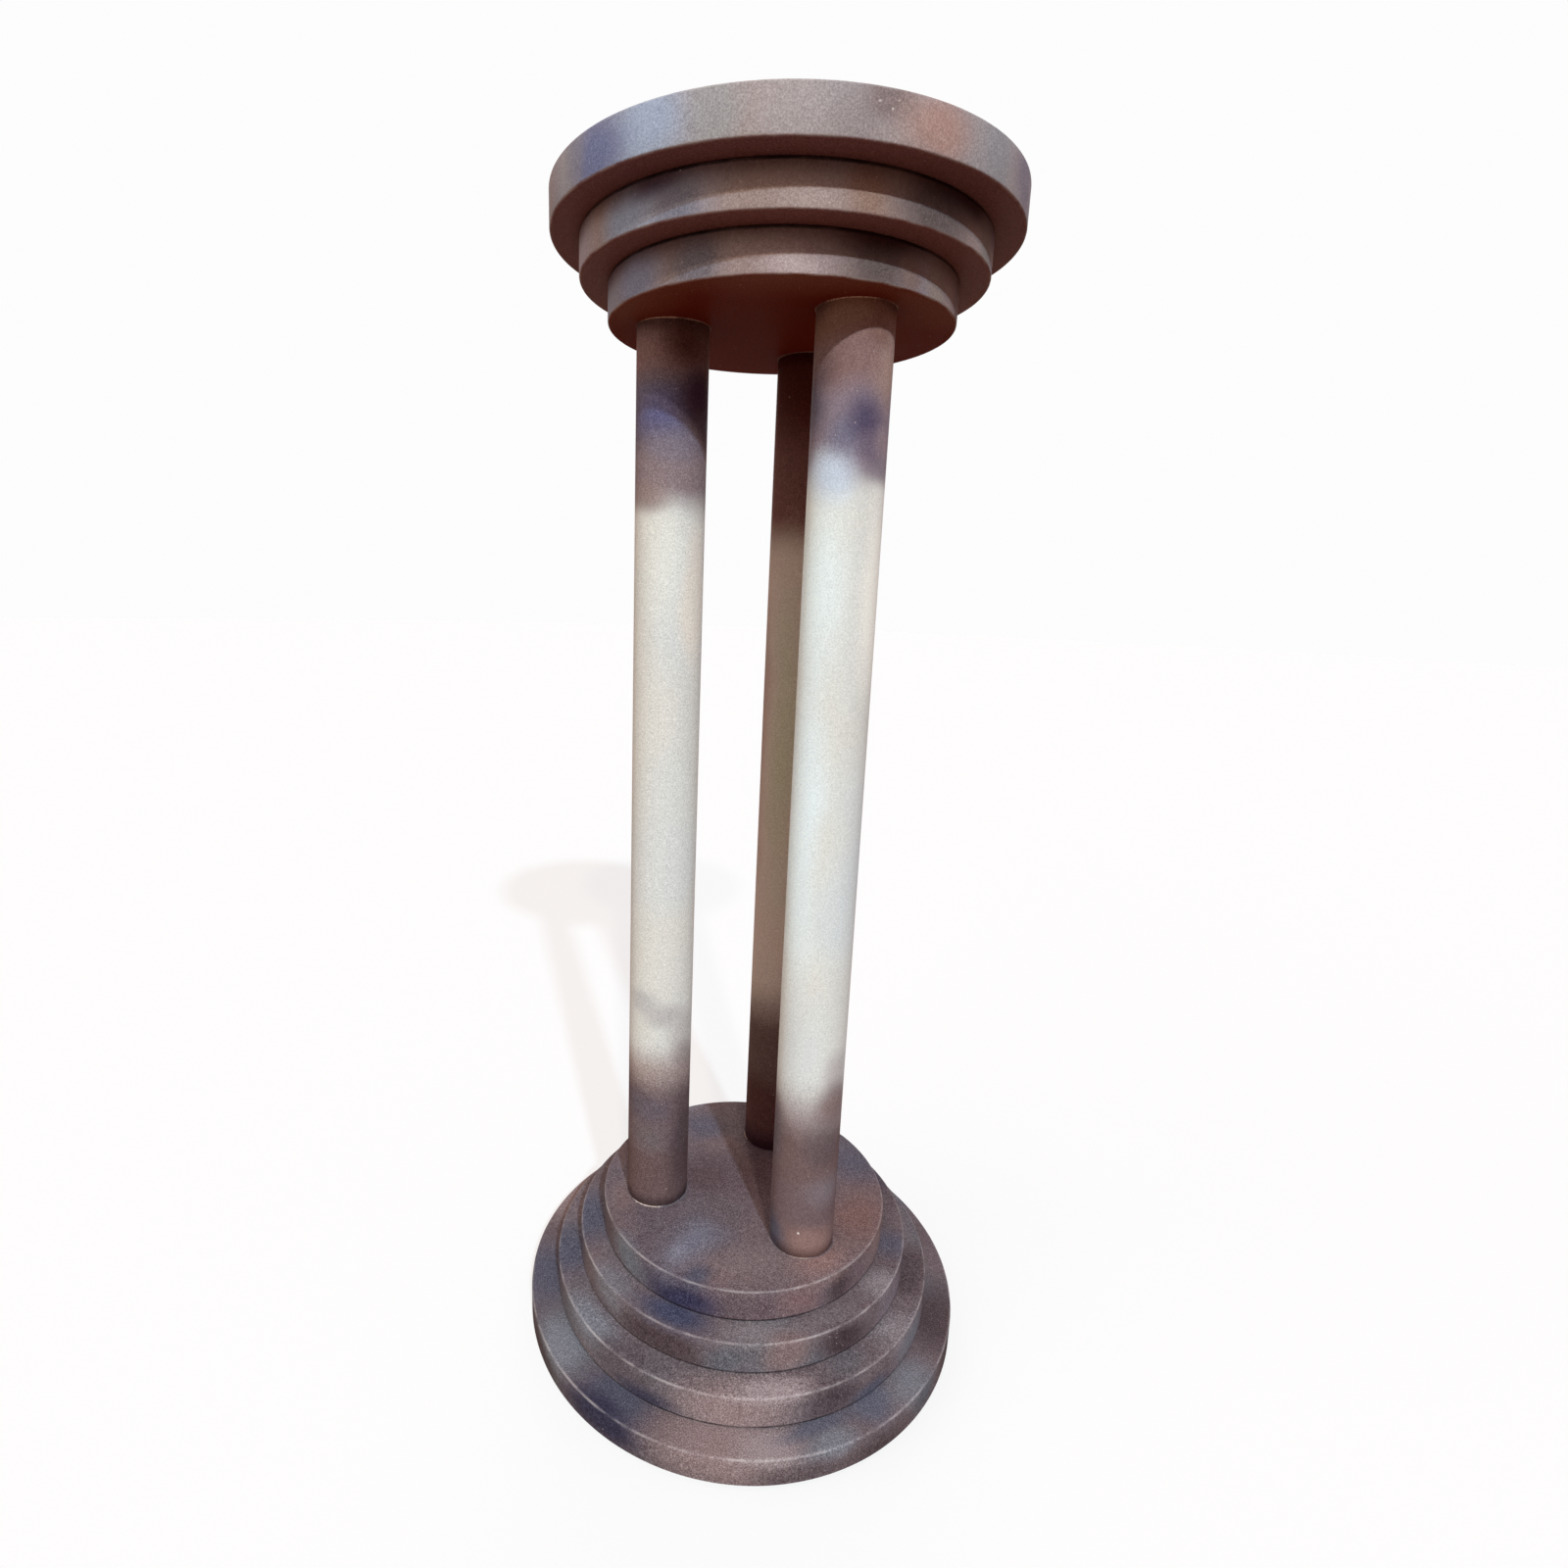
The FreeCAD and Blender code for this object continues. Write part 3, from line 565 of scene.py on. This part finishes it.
# Plugs and dowels: turned beech, left bare because they are hidden. Each column is a tube pushed
# over a plug at its foot and one at its head, and screwed plugs hold it to the boards.
bare_wood, tree, shader, place = new_material("bare_wood")
along = node(tree, "Mapping", {"Vector": place, "Scale": (160, 160, 9)})
growth = node(tree, "TexNoise", {"Vector": along.outputs["Vector"], "Scale": 1, "Detail": 4,
                                 "Distortion": 0.6})
wood_tone = node(tree, "ValToRGB", {"Fac": growth.outputs["Fac"]})
wood_tone.color_ramp.elements[0].position = 0.3
wood_tone.color_ramp.elements[0].color = tint(176, 134, 92)
wood_tone.color_ramp.elements[1].position = 0.7
wood_tone.color_ramp.elements[1].color = tint(214, 180, 138)
tree.links.new(wood_tone.outputs["Color"], shader.inputs["Base Color"])
shader.inputs["Roughness"].default_value = 0.6
wood_bump = node(tree, "Bump", {"Height": growth.outputs["Fac"], "Strength": 0.3,
                                "Distance": 0.2 * MM})
tree.links.new(wood_bump.outputs["Normal"], shader.inputs["Normal"])
for node_name in ("lower_plug_1", "lower_plug_2", "lower_plug_3", "upper_plug_1", "upper_plug_2",
                  "upper_plug_3", "capital_dowels"):
    give_material(node_name, bare_wood)


# Columns: three lengths of 50 mm tube. Each is off-white along its middle and fades into the
# clouds of the base and the capital at its ends, where the spray reached furthest on one side.
# The back column's darkest band, under the capital, is painted shade, and a paler cloud on each
# front column is painted light.
TUBE_FACETS = 96
TUBE_LOOPS = 60
TUBE_WALL = 3.2 * MM
TUBE_UNEVENNESS = 0.2 * MM
TUBE_WAVES = (30, 9)
COLUMN_RADIUS = 25
COLUMN_CIRCLE_RADIUS = 73
COLUMN_ANGLES = (90, 210, 330)
CREAM = (222, 221, 216)
LILAC = (148, 150, 172)
VIOLET = (100, 96, 136)


def on_column(column_angle, own_angle, height):
    """A spot on a column's skin, facing away from that column's own axis."""
    axis = around(column_angle, COLUMN_CIRCLE_RADIUS, height)[0]
    skin, turn = around(own_angle, COLUMN_RADIUS, 0)
    return (axis[0] + skin[0], axis[1] + skin[1], axis[2]), turn


def tube_form(node_name, seed):
    low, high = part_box(node_name)
    middle = (low + high) / 2
    radius = (high.x - low.x) / 2
    form = bmesh.new()
    bmesh.ops.create_circle(form, radius=radius, segments=TUBE_FACETS,
                            matrix=Matrix.Translation((middle.x, middle.y, low.z)))
    wall = bmesh.ops.extrude_edge_only(form, edges=form.edges[:])["geom"]
    bmesh.ops.translate(form, verts=[v for v in wall if isinstance(v, bmesh.types.BMVert)],
                        vec=(0, 0, high.z - low.z))
    upright = [edge for edge in form.edges if edge.verts[0].co.z != edge.verts[1].co.z]
    bmesh.ops.subdivide_edges(form, edges=upright, cuts=TUBE_LOOPS)
    bmesh.ops.recalc_face_normals(form, faces=form.faces)
    bmesh.ops.solidify(form, geom=form.faces[:], thickness=TUBE_WALL)
    for vert in form.verts:
        out = vert.co.xy - middle.xy
        sunk = waver(vert.co, TUBE_WAVES, seed) * TUBE_UNEVENNESS
        vert.co.xy = middle.xy + out * (1 - sunk / radius)
    return form


column_1_paint = spray_paint(
    "column_1_paint", cool=(206, 192, 182), main=(210, 192, 180), warm=(204, 186, 174),
    bands=[
        ((120, 80, 72), 616, 654, 1.0),
        # Painted shade: this darkest band lies under the capital.
        ((92, 40, 30), 690, 735, 1.0),
        ((110, 88, 84), 268, 214, 1.0),
        ((92, 58, 54), 190, 150, 0.95),
        ((64, 34, 42), 126, 106, 0.95),
    ],
    clouds=[
        ((150, 104, 92), on_column(90, -172, 480), (12, 14, 110), 0.7, 0.9),
        ((192, 190, 164), on_column(90, -84, 470), (10, 13, 110), 0.9, 0.9),
        ((106, 92, 128), on_column(90, 60, 700), (20, 26, 24), 0.5, 0.9),
        (SMOKE, on_column(90, 100, 180), (20, 22, 26), 0.7),
    ], grit=0.17, seed=5.0)
finish_piece(tube_form("column_1", seed=1.0), "back_column", "painted_tube", ["column_1"],
             column_1_paint)

column_2_paint = spray_paint(
    "column_2_paint", cool=(220, 221, 219), main=CREAM, warm=(227, 222, 215),
    bands=[
        ((140, 122, 126), 638, 664, 1.0),
        ((100, 92, 110), 676, 702, 0.8),
        ((136, 102, 98), 722, 748, 0.95),
        ((164, 144, 139), 250, 218, 0.9),
        ((112, 94, 97), 227, 196, 1.0),
        ((104, 82, 82), 164, 140, 0.9),
        ((84, 70, 75), 114, 100, 0.35),
    ],
    clouds=[
        ((232, 232, 226), on_column(210, -70, 610), (10, 16, 34), 0.8),
        # Painted light: this paler cloud brightens the side that turns away from the key light.
        ((238, 228, 216), on_column(210, -12, 590), (10, 12, 50), 0.8, 0.5),
        ((128, 119, 134), on_column(210, -66, 690), (10, 16, 11), 0.6),
        ((96, 94, 134), on_column(210, -88, 712), (10, 20, 12), 0.9, 0.9),
        ((82, 34, 22), on_column(210, -46, 755), (10, 14, 11), 0.75, 0.9),
        ((74, 50, 72), on_column(210, -22, 722), (10, 12, 14), 0.9),
        ((150, 129, 127), on_column(210, -106, 655), (10, 18, 9), 0.85),
        ((176, 164, 162), on_column(210, -18, 250), (10, 12, 20), 0.5),
        ((118, 98, 97), on_column(210, -8, 232), (10, 12, 12), 0.4),
        ((178, 174, 176), on_column(210, -98, 280), (8, 14, 9), 0.6),
        ((178, 172, 172), on_column(210, -58, 269), (8, 14, 9), 0.7),
        (SLATE, on_column(210, -90, 188), (10, 22, 12), 0.4),
        ((110, 99, 102), on_column(210, -80, 162), (8, 15, 10), 0.7, 0.9),
        (UMBER, on_column(210, -14, 150), (12, 12, 44), 0.7),
        (LILAC, on_column(210, 120, 700), (16, 20, 20), 0.7),
        (UMBER, on_column(210, 150, 170), (16, 20, 26), 0.7),
    ], grit=0.22, seed=6.0)
finish_piece(tube_form("column_2", seed=2.0), "front_left_column", "painted_tube", ["column_2"],
             column_2_paint)

column_3_paint = spray_paint(
    "column_3_paint", cool=(222, 226, 226), main=(226, 227, 223), warm=(226, 224, 217),
    bands=[
        ((140, 124, 136), 652, 676, 1.0),
        ((136, 106, 104), 706, 730, 1.0),
        ((146, 108, 92), 742, 758, 0.9),
        ((158, 142, 143), 254, 220, 0.9),
        ((116, 94, 94), 229, 197, 1.0),
        ((114, 95, 99), 176, 152, 0.8),
        ((128, 102, 99), 134, 114, 0.8),
    ],
    clouds=[
        ((240, 252, 255), on_column(330, -118, 600), (14, 17, 50), 1.0, 0.9),
        ((238, 250, 255), on_column(330, -120, 440), (14, 15, 110), 1.0, 0.6),
        ((216, 221, 226), on_column(330, -108, 275), (12, 16, 36), 0.6, 0.9),
        # Painted light: this near-white cloud brightens the side that turns away from the key light.
        ((254, 250, 240), on_column(330, -12, 600), (10, 13, 60), 1.0, 0.6),
        ((140, 126, 136), on_column(330, -18, 672), (10, 16, 9), 0.9),
        ((172, 144, 134), on_column(330, -14, 728), (10, 12, 20), 0.9, 0.9),
        ((206, 218, 236), on_column(330, -108, 666), (10, 19, 13), 1.0, 0.9),
        ((100, 80, 84), on_column(330, -122, 730), (9, 9, 10), 0.6),
        ((126, 92, 82), on_column(330, -42, 747), (9, 9, 8), 0.7),
        ((216, 170, 148), on_column(330, -70, 766), (10, 22, 6), 0.65, 0.9),
        ((118, 116, 138), on_column(330, -80, 689), (9, 13, 10), 0.9, 0.9),
        ((88, 82, 98), on_column(330, -146, 712), (12, 12, 18), 0.8),
        ((84, 73, 98), on_column(330, -50, 697), (10, 11, 13), 1.0, 0.9),
        ((116, 101, 117), on_column(330, -38, 682), (10, 10, 9), 0.8),
        ((152, 132, 138), on_column(330, -12, 686), (9, 8, 9), 0.8),
        ((176, 164, 166), on_column(330, -24, 252), (10, 12, 14), 0.6),
        ((122, 97, 94), on_column(330, -24, 230), (10, 14, 13), 0.75),
        (BROWN, on_column(330, -46, 200), (10, 16, 16), 0.7),
        ((108, 98, 104), on_column(330, -146, 196), (10, 12, 26), 0.8),
        ((130, 118, 124), on_column(330, -34, 158), (9, 15, 12), 0.75, 0.9),
        ((146, 116, 110), on_column(330, -56, 112), (10, 18, 14), 0.9),
        (SLATE, on_column(330, -138, 110), (10, 12, 16), 0.9),
        ((226, 218, 210), on_column(330, -82, 121), (4, 0.9, 0.9), 1.0, 0.4),
        (VIOLET, on_column(330, 60, 706), (16, 20, 20), 0.7),
        (BLUE_GREY, on_column(330, 80, 160), (16, 20, 20), 0.7),
    ], grit=0.16, seed=7.0)
finish_piece(tube_form("column_3", seed=3.0), "front_right_column", "painted_tube", ["column_3"],
             column_3_paint)


# Filler: a thin bead run round each column's foot and head with a fingertip, so that its width
# varies, then painted over. The paint has come off in places and shows the pale filler.
BEAD_LEG = 1.5 * MM
BEAD_STEPS = 90
BEAD_SINK = 0.3 * MM
BEAD_SIZE = 0.4
BEAD_UNEVENNESS = 0.35
BEAD_WAVES = 90
SKIN_RADIUS = COLUMN_RADIUS * MM


def bead_form(node_name, up, seed):
    """Rings of filler at one end of the three columns: up is 1 at the feet and -1 at the heads."""
    low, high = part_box(node_name)
    seat = low.z if up > 0 else high.z
    form = bmesh.new()
    for angle in COLUMN_ANGLES:
        axis = Vector(around(angle, COLUMN_CIRCLE_RADIUS, 0)[0])
        inner = SKIN_RADIUS - BEAD_SINK
        corners = [(inner, 0), (SKIN_RADIUS + BEAD_LEG, 0),
                   (SKIN_RADIUS + 0.55 * BEAD_LEG, 0.3 * BEAD_LEG),
                   (SKIN_RADIUS + 0.2 * BEAD_LEG, 0.65 * BEAD_LEG), (inner, BEAD_LEG)]
        verts = [form.verts.new((axis.x + out, axis.y, seat + up * rise)) for out, rise in corners]
        edges = [form.edges.new((verts[i - 1], verts[i])) for i in range(len(verts))]
        bmesh.ops.spin(form, geom=verts + edges, cent=axis, axis=(0, 0, 1), angle=math.tau,
                       steps=BEAD_STEPS, use_merge=True)
        for vert in form.verts:
            out = vert.co.xy - axis.xy
            if out.length > 2 * SKIN_RADIUS:
                continue
            skin = out.normalized() * SKIN_RADIUS
            spot = Vector((vert.co.x * BEAD_WAVES, vert.co.y * BEAD_WAVES, seed))
            size = BEAD_SIZE + BEAD_UNEVENNESS * noise.noise(spot)
            if out.length > SKIN_RADIUS:
                vert.co.xy = axis.xy + skin + (out - skin) * size
            vert.co.z = seat + (vert.co.z - seat) * size
    bmesh.ops.remove_doubles(form, verts=form.verts, dist=0.01 * MM)
    bmesh.ops.recalc_face_normals(form, faces=form.faces)
    return form


foot_filler_paint = spray_paint(
    "foot_filler_paint", cool=ASH, main=MAUVE, warm=BROWN,
    clouds=[
        ((210, 190, 178), on_column(210, -86, 101), (3, 15, 3), 0.7),
        ((168, 146, 138), on_column(330, -72, 101), (3, 14, 3), 0.6),
        ((196, 170, 156), on_column(90, -150, 103), (4, 6, 4), 0.7),
        ((60, 34, 46), on_column(90, -90, 102), (6, 24, 6), 0.8),
    ], seed=8.0)
finish_piece(bead_form("foot_filler", 1, 3.0), "foot_beads", "painted_filler", ["foot_filler"],
             foot_filler_paint)
head_filler_paint = spray_paint(
    "head_filler_paint", cool=(120, 80, 72), main=(142, 100, 90), warm=(176, 136, 124),
    clouds=[
        ((212, 174, 158), on_column(210, -90, 767), (6, 18, 6), 0.9),
        ((180, 140, 128), on_column(210, -20, 767), (6, 10, 6), 0.8),
        ((230, 188, 168), on_column(330, -80, 767), (6, 22, 6), 0.9),
    ], seed=9.0)
finish_piece(bead_form("head_filler", -1, 7.0), "head_beads", "painted_filler", ["head_filler"],
             head_filler_paint)


# Capital board 1, the smallest: it rests on the columns. The capital's undersides get a
# reddish-brown coat, partly paint and partly painted shade, and painted shade darkens the corners
# beneath the ledges.
# Colours of the painted shade in the corner under each ledge.
LEDGE_SHADE = (84, 42, 38)
DEEP_LEDGE_SHADE = (30, 6, 14)

capital_1_paint = spray_paint(
    "capital_1_paint", cool=LILAC, main=(146, 130, 134), warm=(158, 138, 134),
    clouds=[
        ((150, 146, 160), around(-138, 118, 776), (10, 20, 20), 0.9),
        ((142, 144, 168), around(-119, 118, 776), (10, 22, 18), 0.95),
        ((116, 110, 120), around(-95, 118, 777), (9, 18, 15), 0.9),
        ((164, 142, 140), around(-74, 118, 777), (10, 24, 18), 1.0),
        ((192, 173, 173), around(-68, 118, 771), (9, 16, 7), 0.9),
        ((106, 92, 90), around(-43, 118, 777), (10, 22, 18), 1.0),
        ((130, 106, 96), around(-29, 118, 773), (9, 9, 9), 0.7),
        ((152, 136, 128), around(-17, 118, 774), (10, 11, 12), 0.9),
        ((104, 66, 62), around(8, 118, 780), (12, 24, 20), 0.8),
        (SMOKE, around(66, 118, 780), (12, 26, 22), 0.8),
        ((168, 148, 144), around(118, 118, 780), (12, 26, 22), 0.8),
        ((122, 104, 108), around(172, 118, 780), (12, 26, 22), 0.8),
        # Painted shade: this darkest cloud and the band laid over the clouds lie just under board
        # 2's ledge.
        (DEEP_LEDGE_SHADE, around(-40, 118, 792), (9, 33, 10), 1.0),
    ], ledge_shade_bands=[(LEDGE_SHADE, 777, 797, 0.8)], underside=(122, 42, 27),
    underside_shine=0.03,
    overspray=[
        ((150, 94, 74), around(-125, 118, 768), (24, 50, 14), 0.7, 0.9),
        ((150, 94, 74), around(-68, 118, 768), (26, 60, 14), 0.7, 0.9),
        ((150, 94, 74), around(-12, 118, 768), (24, 50, 14), 0.7, 0.9),
    ], grit=0.19, seed=10.0)
finish_piece(board_form("capital_disc_1", seed=5.0, joint="high"), "lowest_capital_board",
             "painted_board", ["capital_disc_1"], capital_1_paint)


# Capital board 2, a step wider: the same inch board, glued and screwed down on board 1 from above.
# Board 3 then covers the screws.
capital_2_paint = spray_paint(
    "capital_2_paint", cool=(158, 156, 172), main=(162, 144, 142), warm=(168, 142, 134),
    clouds=[
        ((174, 162, 172), around(-138, 137, 802), (10, 26, 20), 0.9),
        ((156, 166, 190), around(-112, 137, 802), (10, 22, 18), 0.95),
        ((124, 122, 136), around(-95, 137, 800), (9, 14, 16), 0.85),
        ((164, 142, 136), around(-74, 137, 802), (10, 30, 20), 1.0),
        ((180, 160, 156), around(-65, 137, 797), (9, 16, 7), 0.8),
        ((150, 119, 103), around(-51, 137, 806), (9, 12, 14), 0.8),
        ((104, 91, 90), around(-31, 137, 804), (10, 31, 20), 1.0),
        ((148, 140, 134), around(-6, 137, 799), (10, 13, 12), 0.9),
        # Painted shade: these two dark clouds and the band laid over the clouds lie just under board
        # 3's ledge.
        ((74, 64, 90), around(-102, 137, 817), (9, 18, 9), 0.9),
        (DEEP_LEDGE_SHADE, around(-21, 137, 817), (9, 44, 11), 1.0),
        (SMOKE, around(44, 137, 806), (12, 30, 22), 0.8),
        ((170, 144, 136), around(98, 137, 806), (12, 30, 22), 0.8),
        (LILAC, around(150, 137, 806), (12, 30, 22), 0.8),
    ], ledge_shade_bands=[(LEDGE_SHADE, 804, 822, 0.74)], underside=(142, 91, 88),
    grit=0.19, seed=11.0)
finish_piece(board_form("capital_disc_2", seed=6.0, joint="high"), "middle_capital_board",
             "painted_board", ["capital_disc_2"], capital_2_paint)


# Capital board 3, the top board: held by blind dowels and glue, so that its face is clean. It is
# the brightest, sprayed last, with blue-violet, pale blue, stone grey and pinkish brown clouds.
capital_3_paint = spray_paint(
    "capital_3_paint", cool=(156, 156, 166), main=(164, 155, 157), warm=(170, 155, 153),
    clouds=[
        ((158, 144, 148), around(-140, 156, 832), (14, 26, 18), 0.8),
        ((164, 176, 200), around(-99, 156, 832), (14, 26, 18), 0.95),
        ((116, 121, 157), around(-113, 156, 830), (12, 22, 18), 1.0),
        ((128, 128, 146), around(-122, 156, 834), (12, 9, 14), 0.6),
        ((160, 158, 160), around(-84, 156, 832), (14, 13, 18), 0.8),
        ((172, 162, 163), around(-69, 156, 832), (14, 18, 18), 0.7),
        ((152, 139, 140), around(-57, 156, 832), (12, 12, 16), 0.6),
        ((134, 116, 115), around(-50, 156, 842), (12, 14, 9), 0.9),
        ((196, 184, 182), around(-52.3, 155, 841), (3, 1.0, 0.5), 0.9, 0.4),
        ((206, 196, 192), around(-49.8, 155, 838), (3, 0.6, 0.5), 0.9, 0.4),
        ((190, 172, 168), around(-48.6, 155, 841.5), (3, 0.9, 0.4), 0.9, 0.4),
        ((180, 162, 158), around(-49.4, 155, 830), (3, 0.6, 0.6), 0.8, 0.4),
        ((190, 174, 172), around(-44.5, 155, 842), (3, 1.1, 0.4), 0.8, 0.4),
        ((177, 142, 132), around(-40, 156, 830), (14, 20, 16), 0.95),
        ((150, 149, 154), around(-22, 156, 832), (14, 14, 18), 0.8),
        ((132, 122, 135), around(-6, 156, 832), (14, 22, 18), 0.9),
        ((112, 112, 146), around(62, 150, 838), (30, 32, 22), 0.85),
        ((174, 146, 138), around(104, 152, 838), (28, 34, 22), 0.85),
        ((168, 174, 192), around(146, 150, 838), (28, 30, 22), 0.85),
        ((128, 110, 112), around(-176, 150, 838), (26, 28, 22), 0.8),
        ((124, 126, 156), around(-60, 55, 844), (50, 46, 6), 0.75, 0.9),
        ((178, 152, 144), around(110, 55, 844), (46, 60, 6), 0.8, 0.9),
        ((174, 180, 198), around(25, 100, 844), (40, 44, 6), 0.75, 0.9),
        ((124, 108, 116), around(178, 70, 844), (44, 40, 6), 0.75, 0.9),
        ((158, 132, 126), around(-125, 92, 844), (34, 50, 6), 0.8, 0.9),
        ((130, 124, 140), around(70, 112, 844), (30, 46, 6), 0.75, 0.9),
        ((168, 166, 172), around(-20, 110, 844), (30, 40, 6), 0.8, 0.9),
    ], underside=(138, 89, 88), grit=0.19, seed=12.0)
finish_piece(board_form("capital_disc_3", seed=7.0), "top_board", "painted_board",
             ["capital_disc_3"], capital_3_paint)


# Studio: a pale floor that fades into a white backdrop, a key light and a weaker warm one from the
# front right, and broad fills. The floor throws no light back up under the capital.
SKY = (0.32, 0.20, 0.20, 1)
GROUND = (0.20, 0.13, 0.095, 1)
ROOM_RADIUS = 12.0


def sun(name, azimuth, elevation, spread, colour):
    data = bpy.data.lights.new(name, "SUN")
    data.angle = math.radians(spread)
    data.energy = math.pi * max(colour)
    data.color = [channel / max(colour) for channel in colour]
    lamp = bpy.data.objects.new(name, data)
    turn, rise = math.radians(azimuth), math.radians(elevation)
    level = math.cos(rise)
    towards = Vector((level * math.cos(turn), level * math.sin(turn), math.sin(rise)))
    lamp.rotation_euler = towards.to_track_quat("Z", "Y").to_euler()
    bpy.context.scene.collection.objects.link(lamp)


sun("key", -50.5, 39.2, 2.0, (0.47, 0.62, 0.71))
sun("second", -59.5, 39.0, 2.0, (0.28, 0.24, 0.18))
sun("left_fill", -128, 22, 60, (0.30, 0.31, 0.27))
sun("back_fill", 108, 14, 60, (0.30, 0.28, 0.26))

room = bpy.data.worlds.new("room")
room.use_nodes = True
tree = room.node_tree
aim = node(tree, "SeparateXYZ", {"Vector": node(tree, "TexCoord", {}).outputs["Generated"]})
light = blend(tree, remap(tree, aim.outputs["Z"], -0.05, 0.05), GROUND, SKY)
tree.links.new(light, tree.nodes["Background"].inputs["Color"])
bpy.context.scene.world = room
bpy.context.scene.view_settings.view_transform = "Standard"


def stage_piece(name, form, glow, albedo):
    mesh = bpy.data.meshes.new(name)
    form.to_mesh(mesh)
    form.free()
    material = bpy.data.materials.new(name)
    material.use_nodes = True
    shader = material.node_tree.nodes["Principled BSDF"]
    shader.inputs["Base Color"].default_value = (albedo, albedo, albedo, 1)
    shader.inputs["Roughness"].default_value = 1.0
    shader.inputs["Specular IOR Level"].default_value = 0.0
    shader.inputs["Emission Color"].default_value = (1, 1, 1, 1)
    shader.inputs["Emission Strength"].default_value = glow
    mesh.materials.append(material)
    stage = bpy.data.objects.new(name, mesh)
    stage.visible_diffuse = False
    stage.visible_glossy = False
    bpy.context.scene.collection.objects.link(stage)
    return stage


form = bmesh.new()
bmesh.ops.create_circle(form, cap_ends=True, radius=ROOM_RADIUS, segments=64)
stage_piece("floor", form, 0.74, 0.26)
form = bmesh.new()
bmesh.ops.create_uvsphere(form, u_segments=48, v_segments=24, radius=ROOM_RADIUS)
backdrop = stage_piece("backdrop", form, 0.98, 0.0)
backdrop.visible_shadow = False
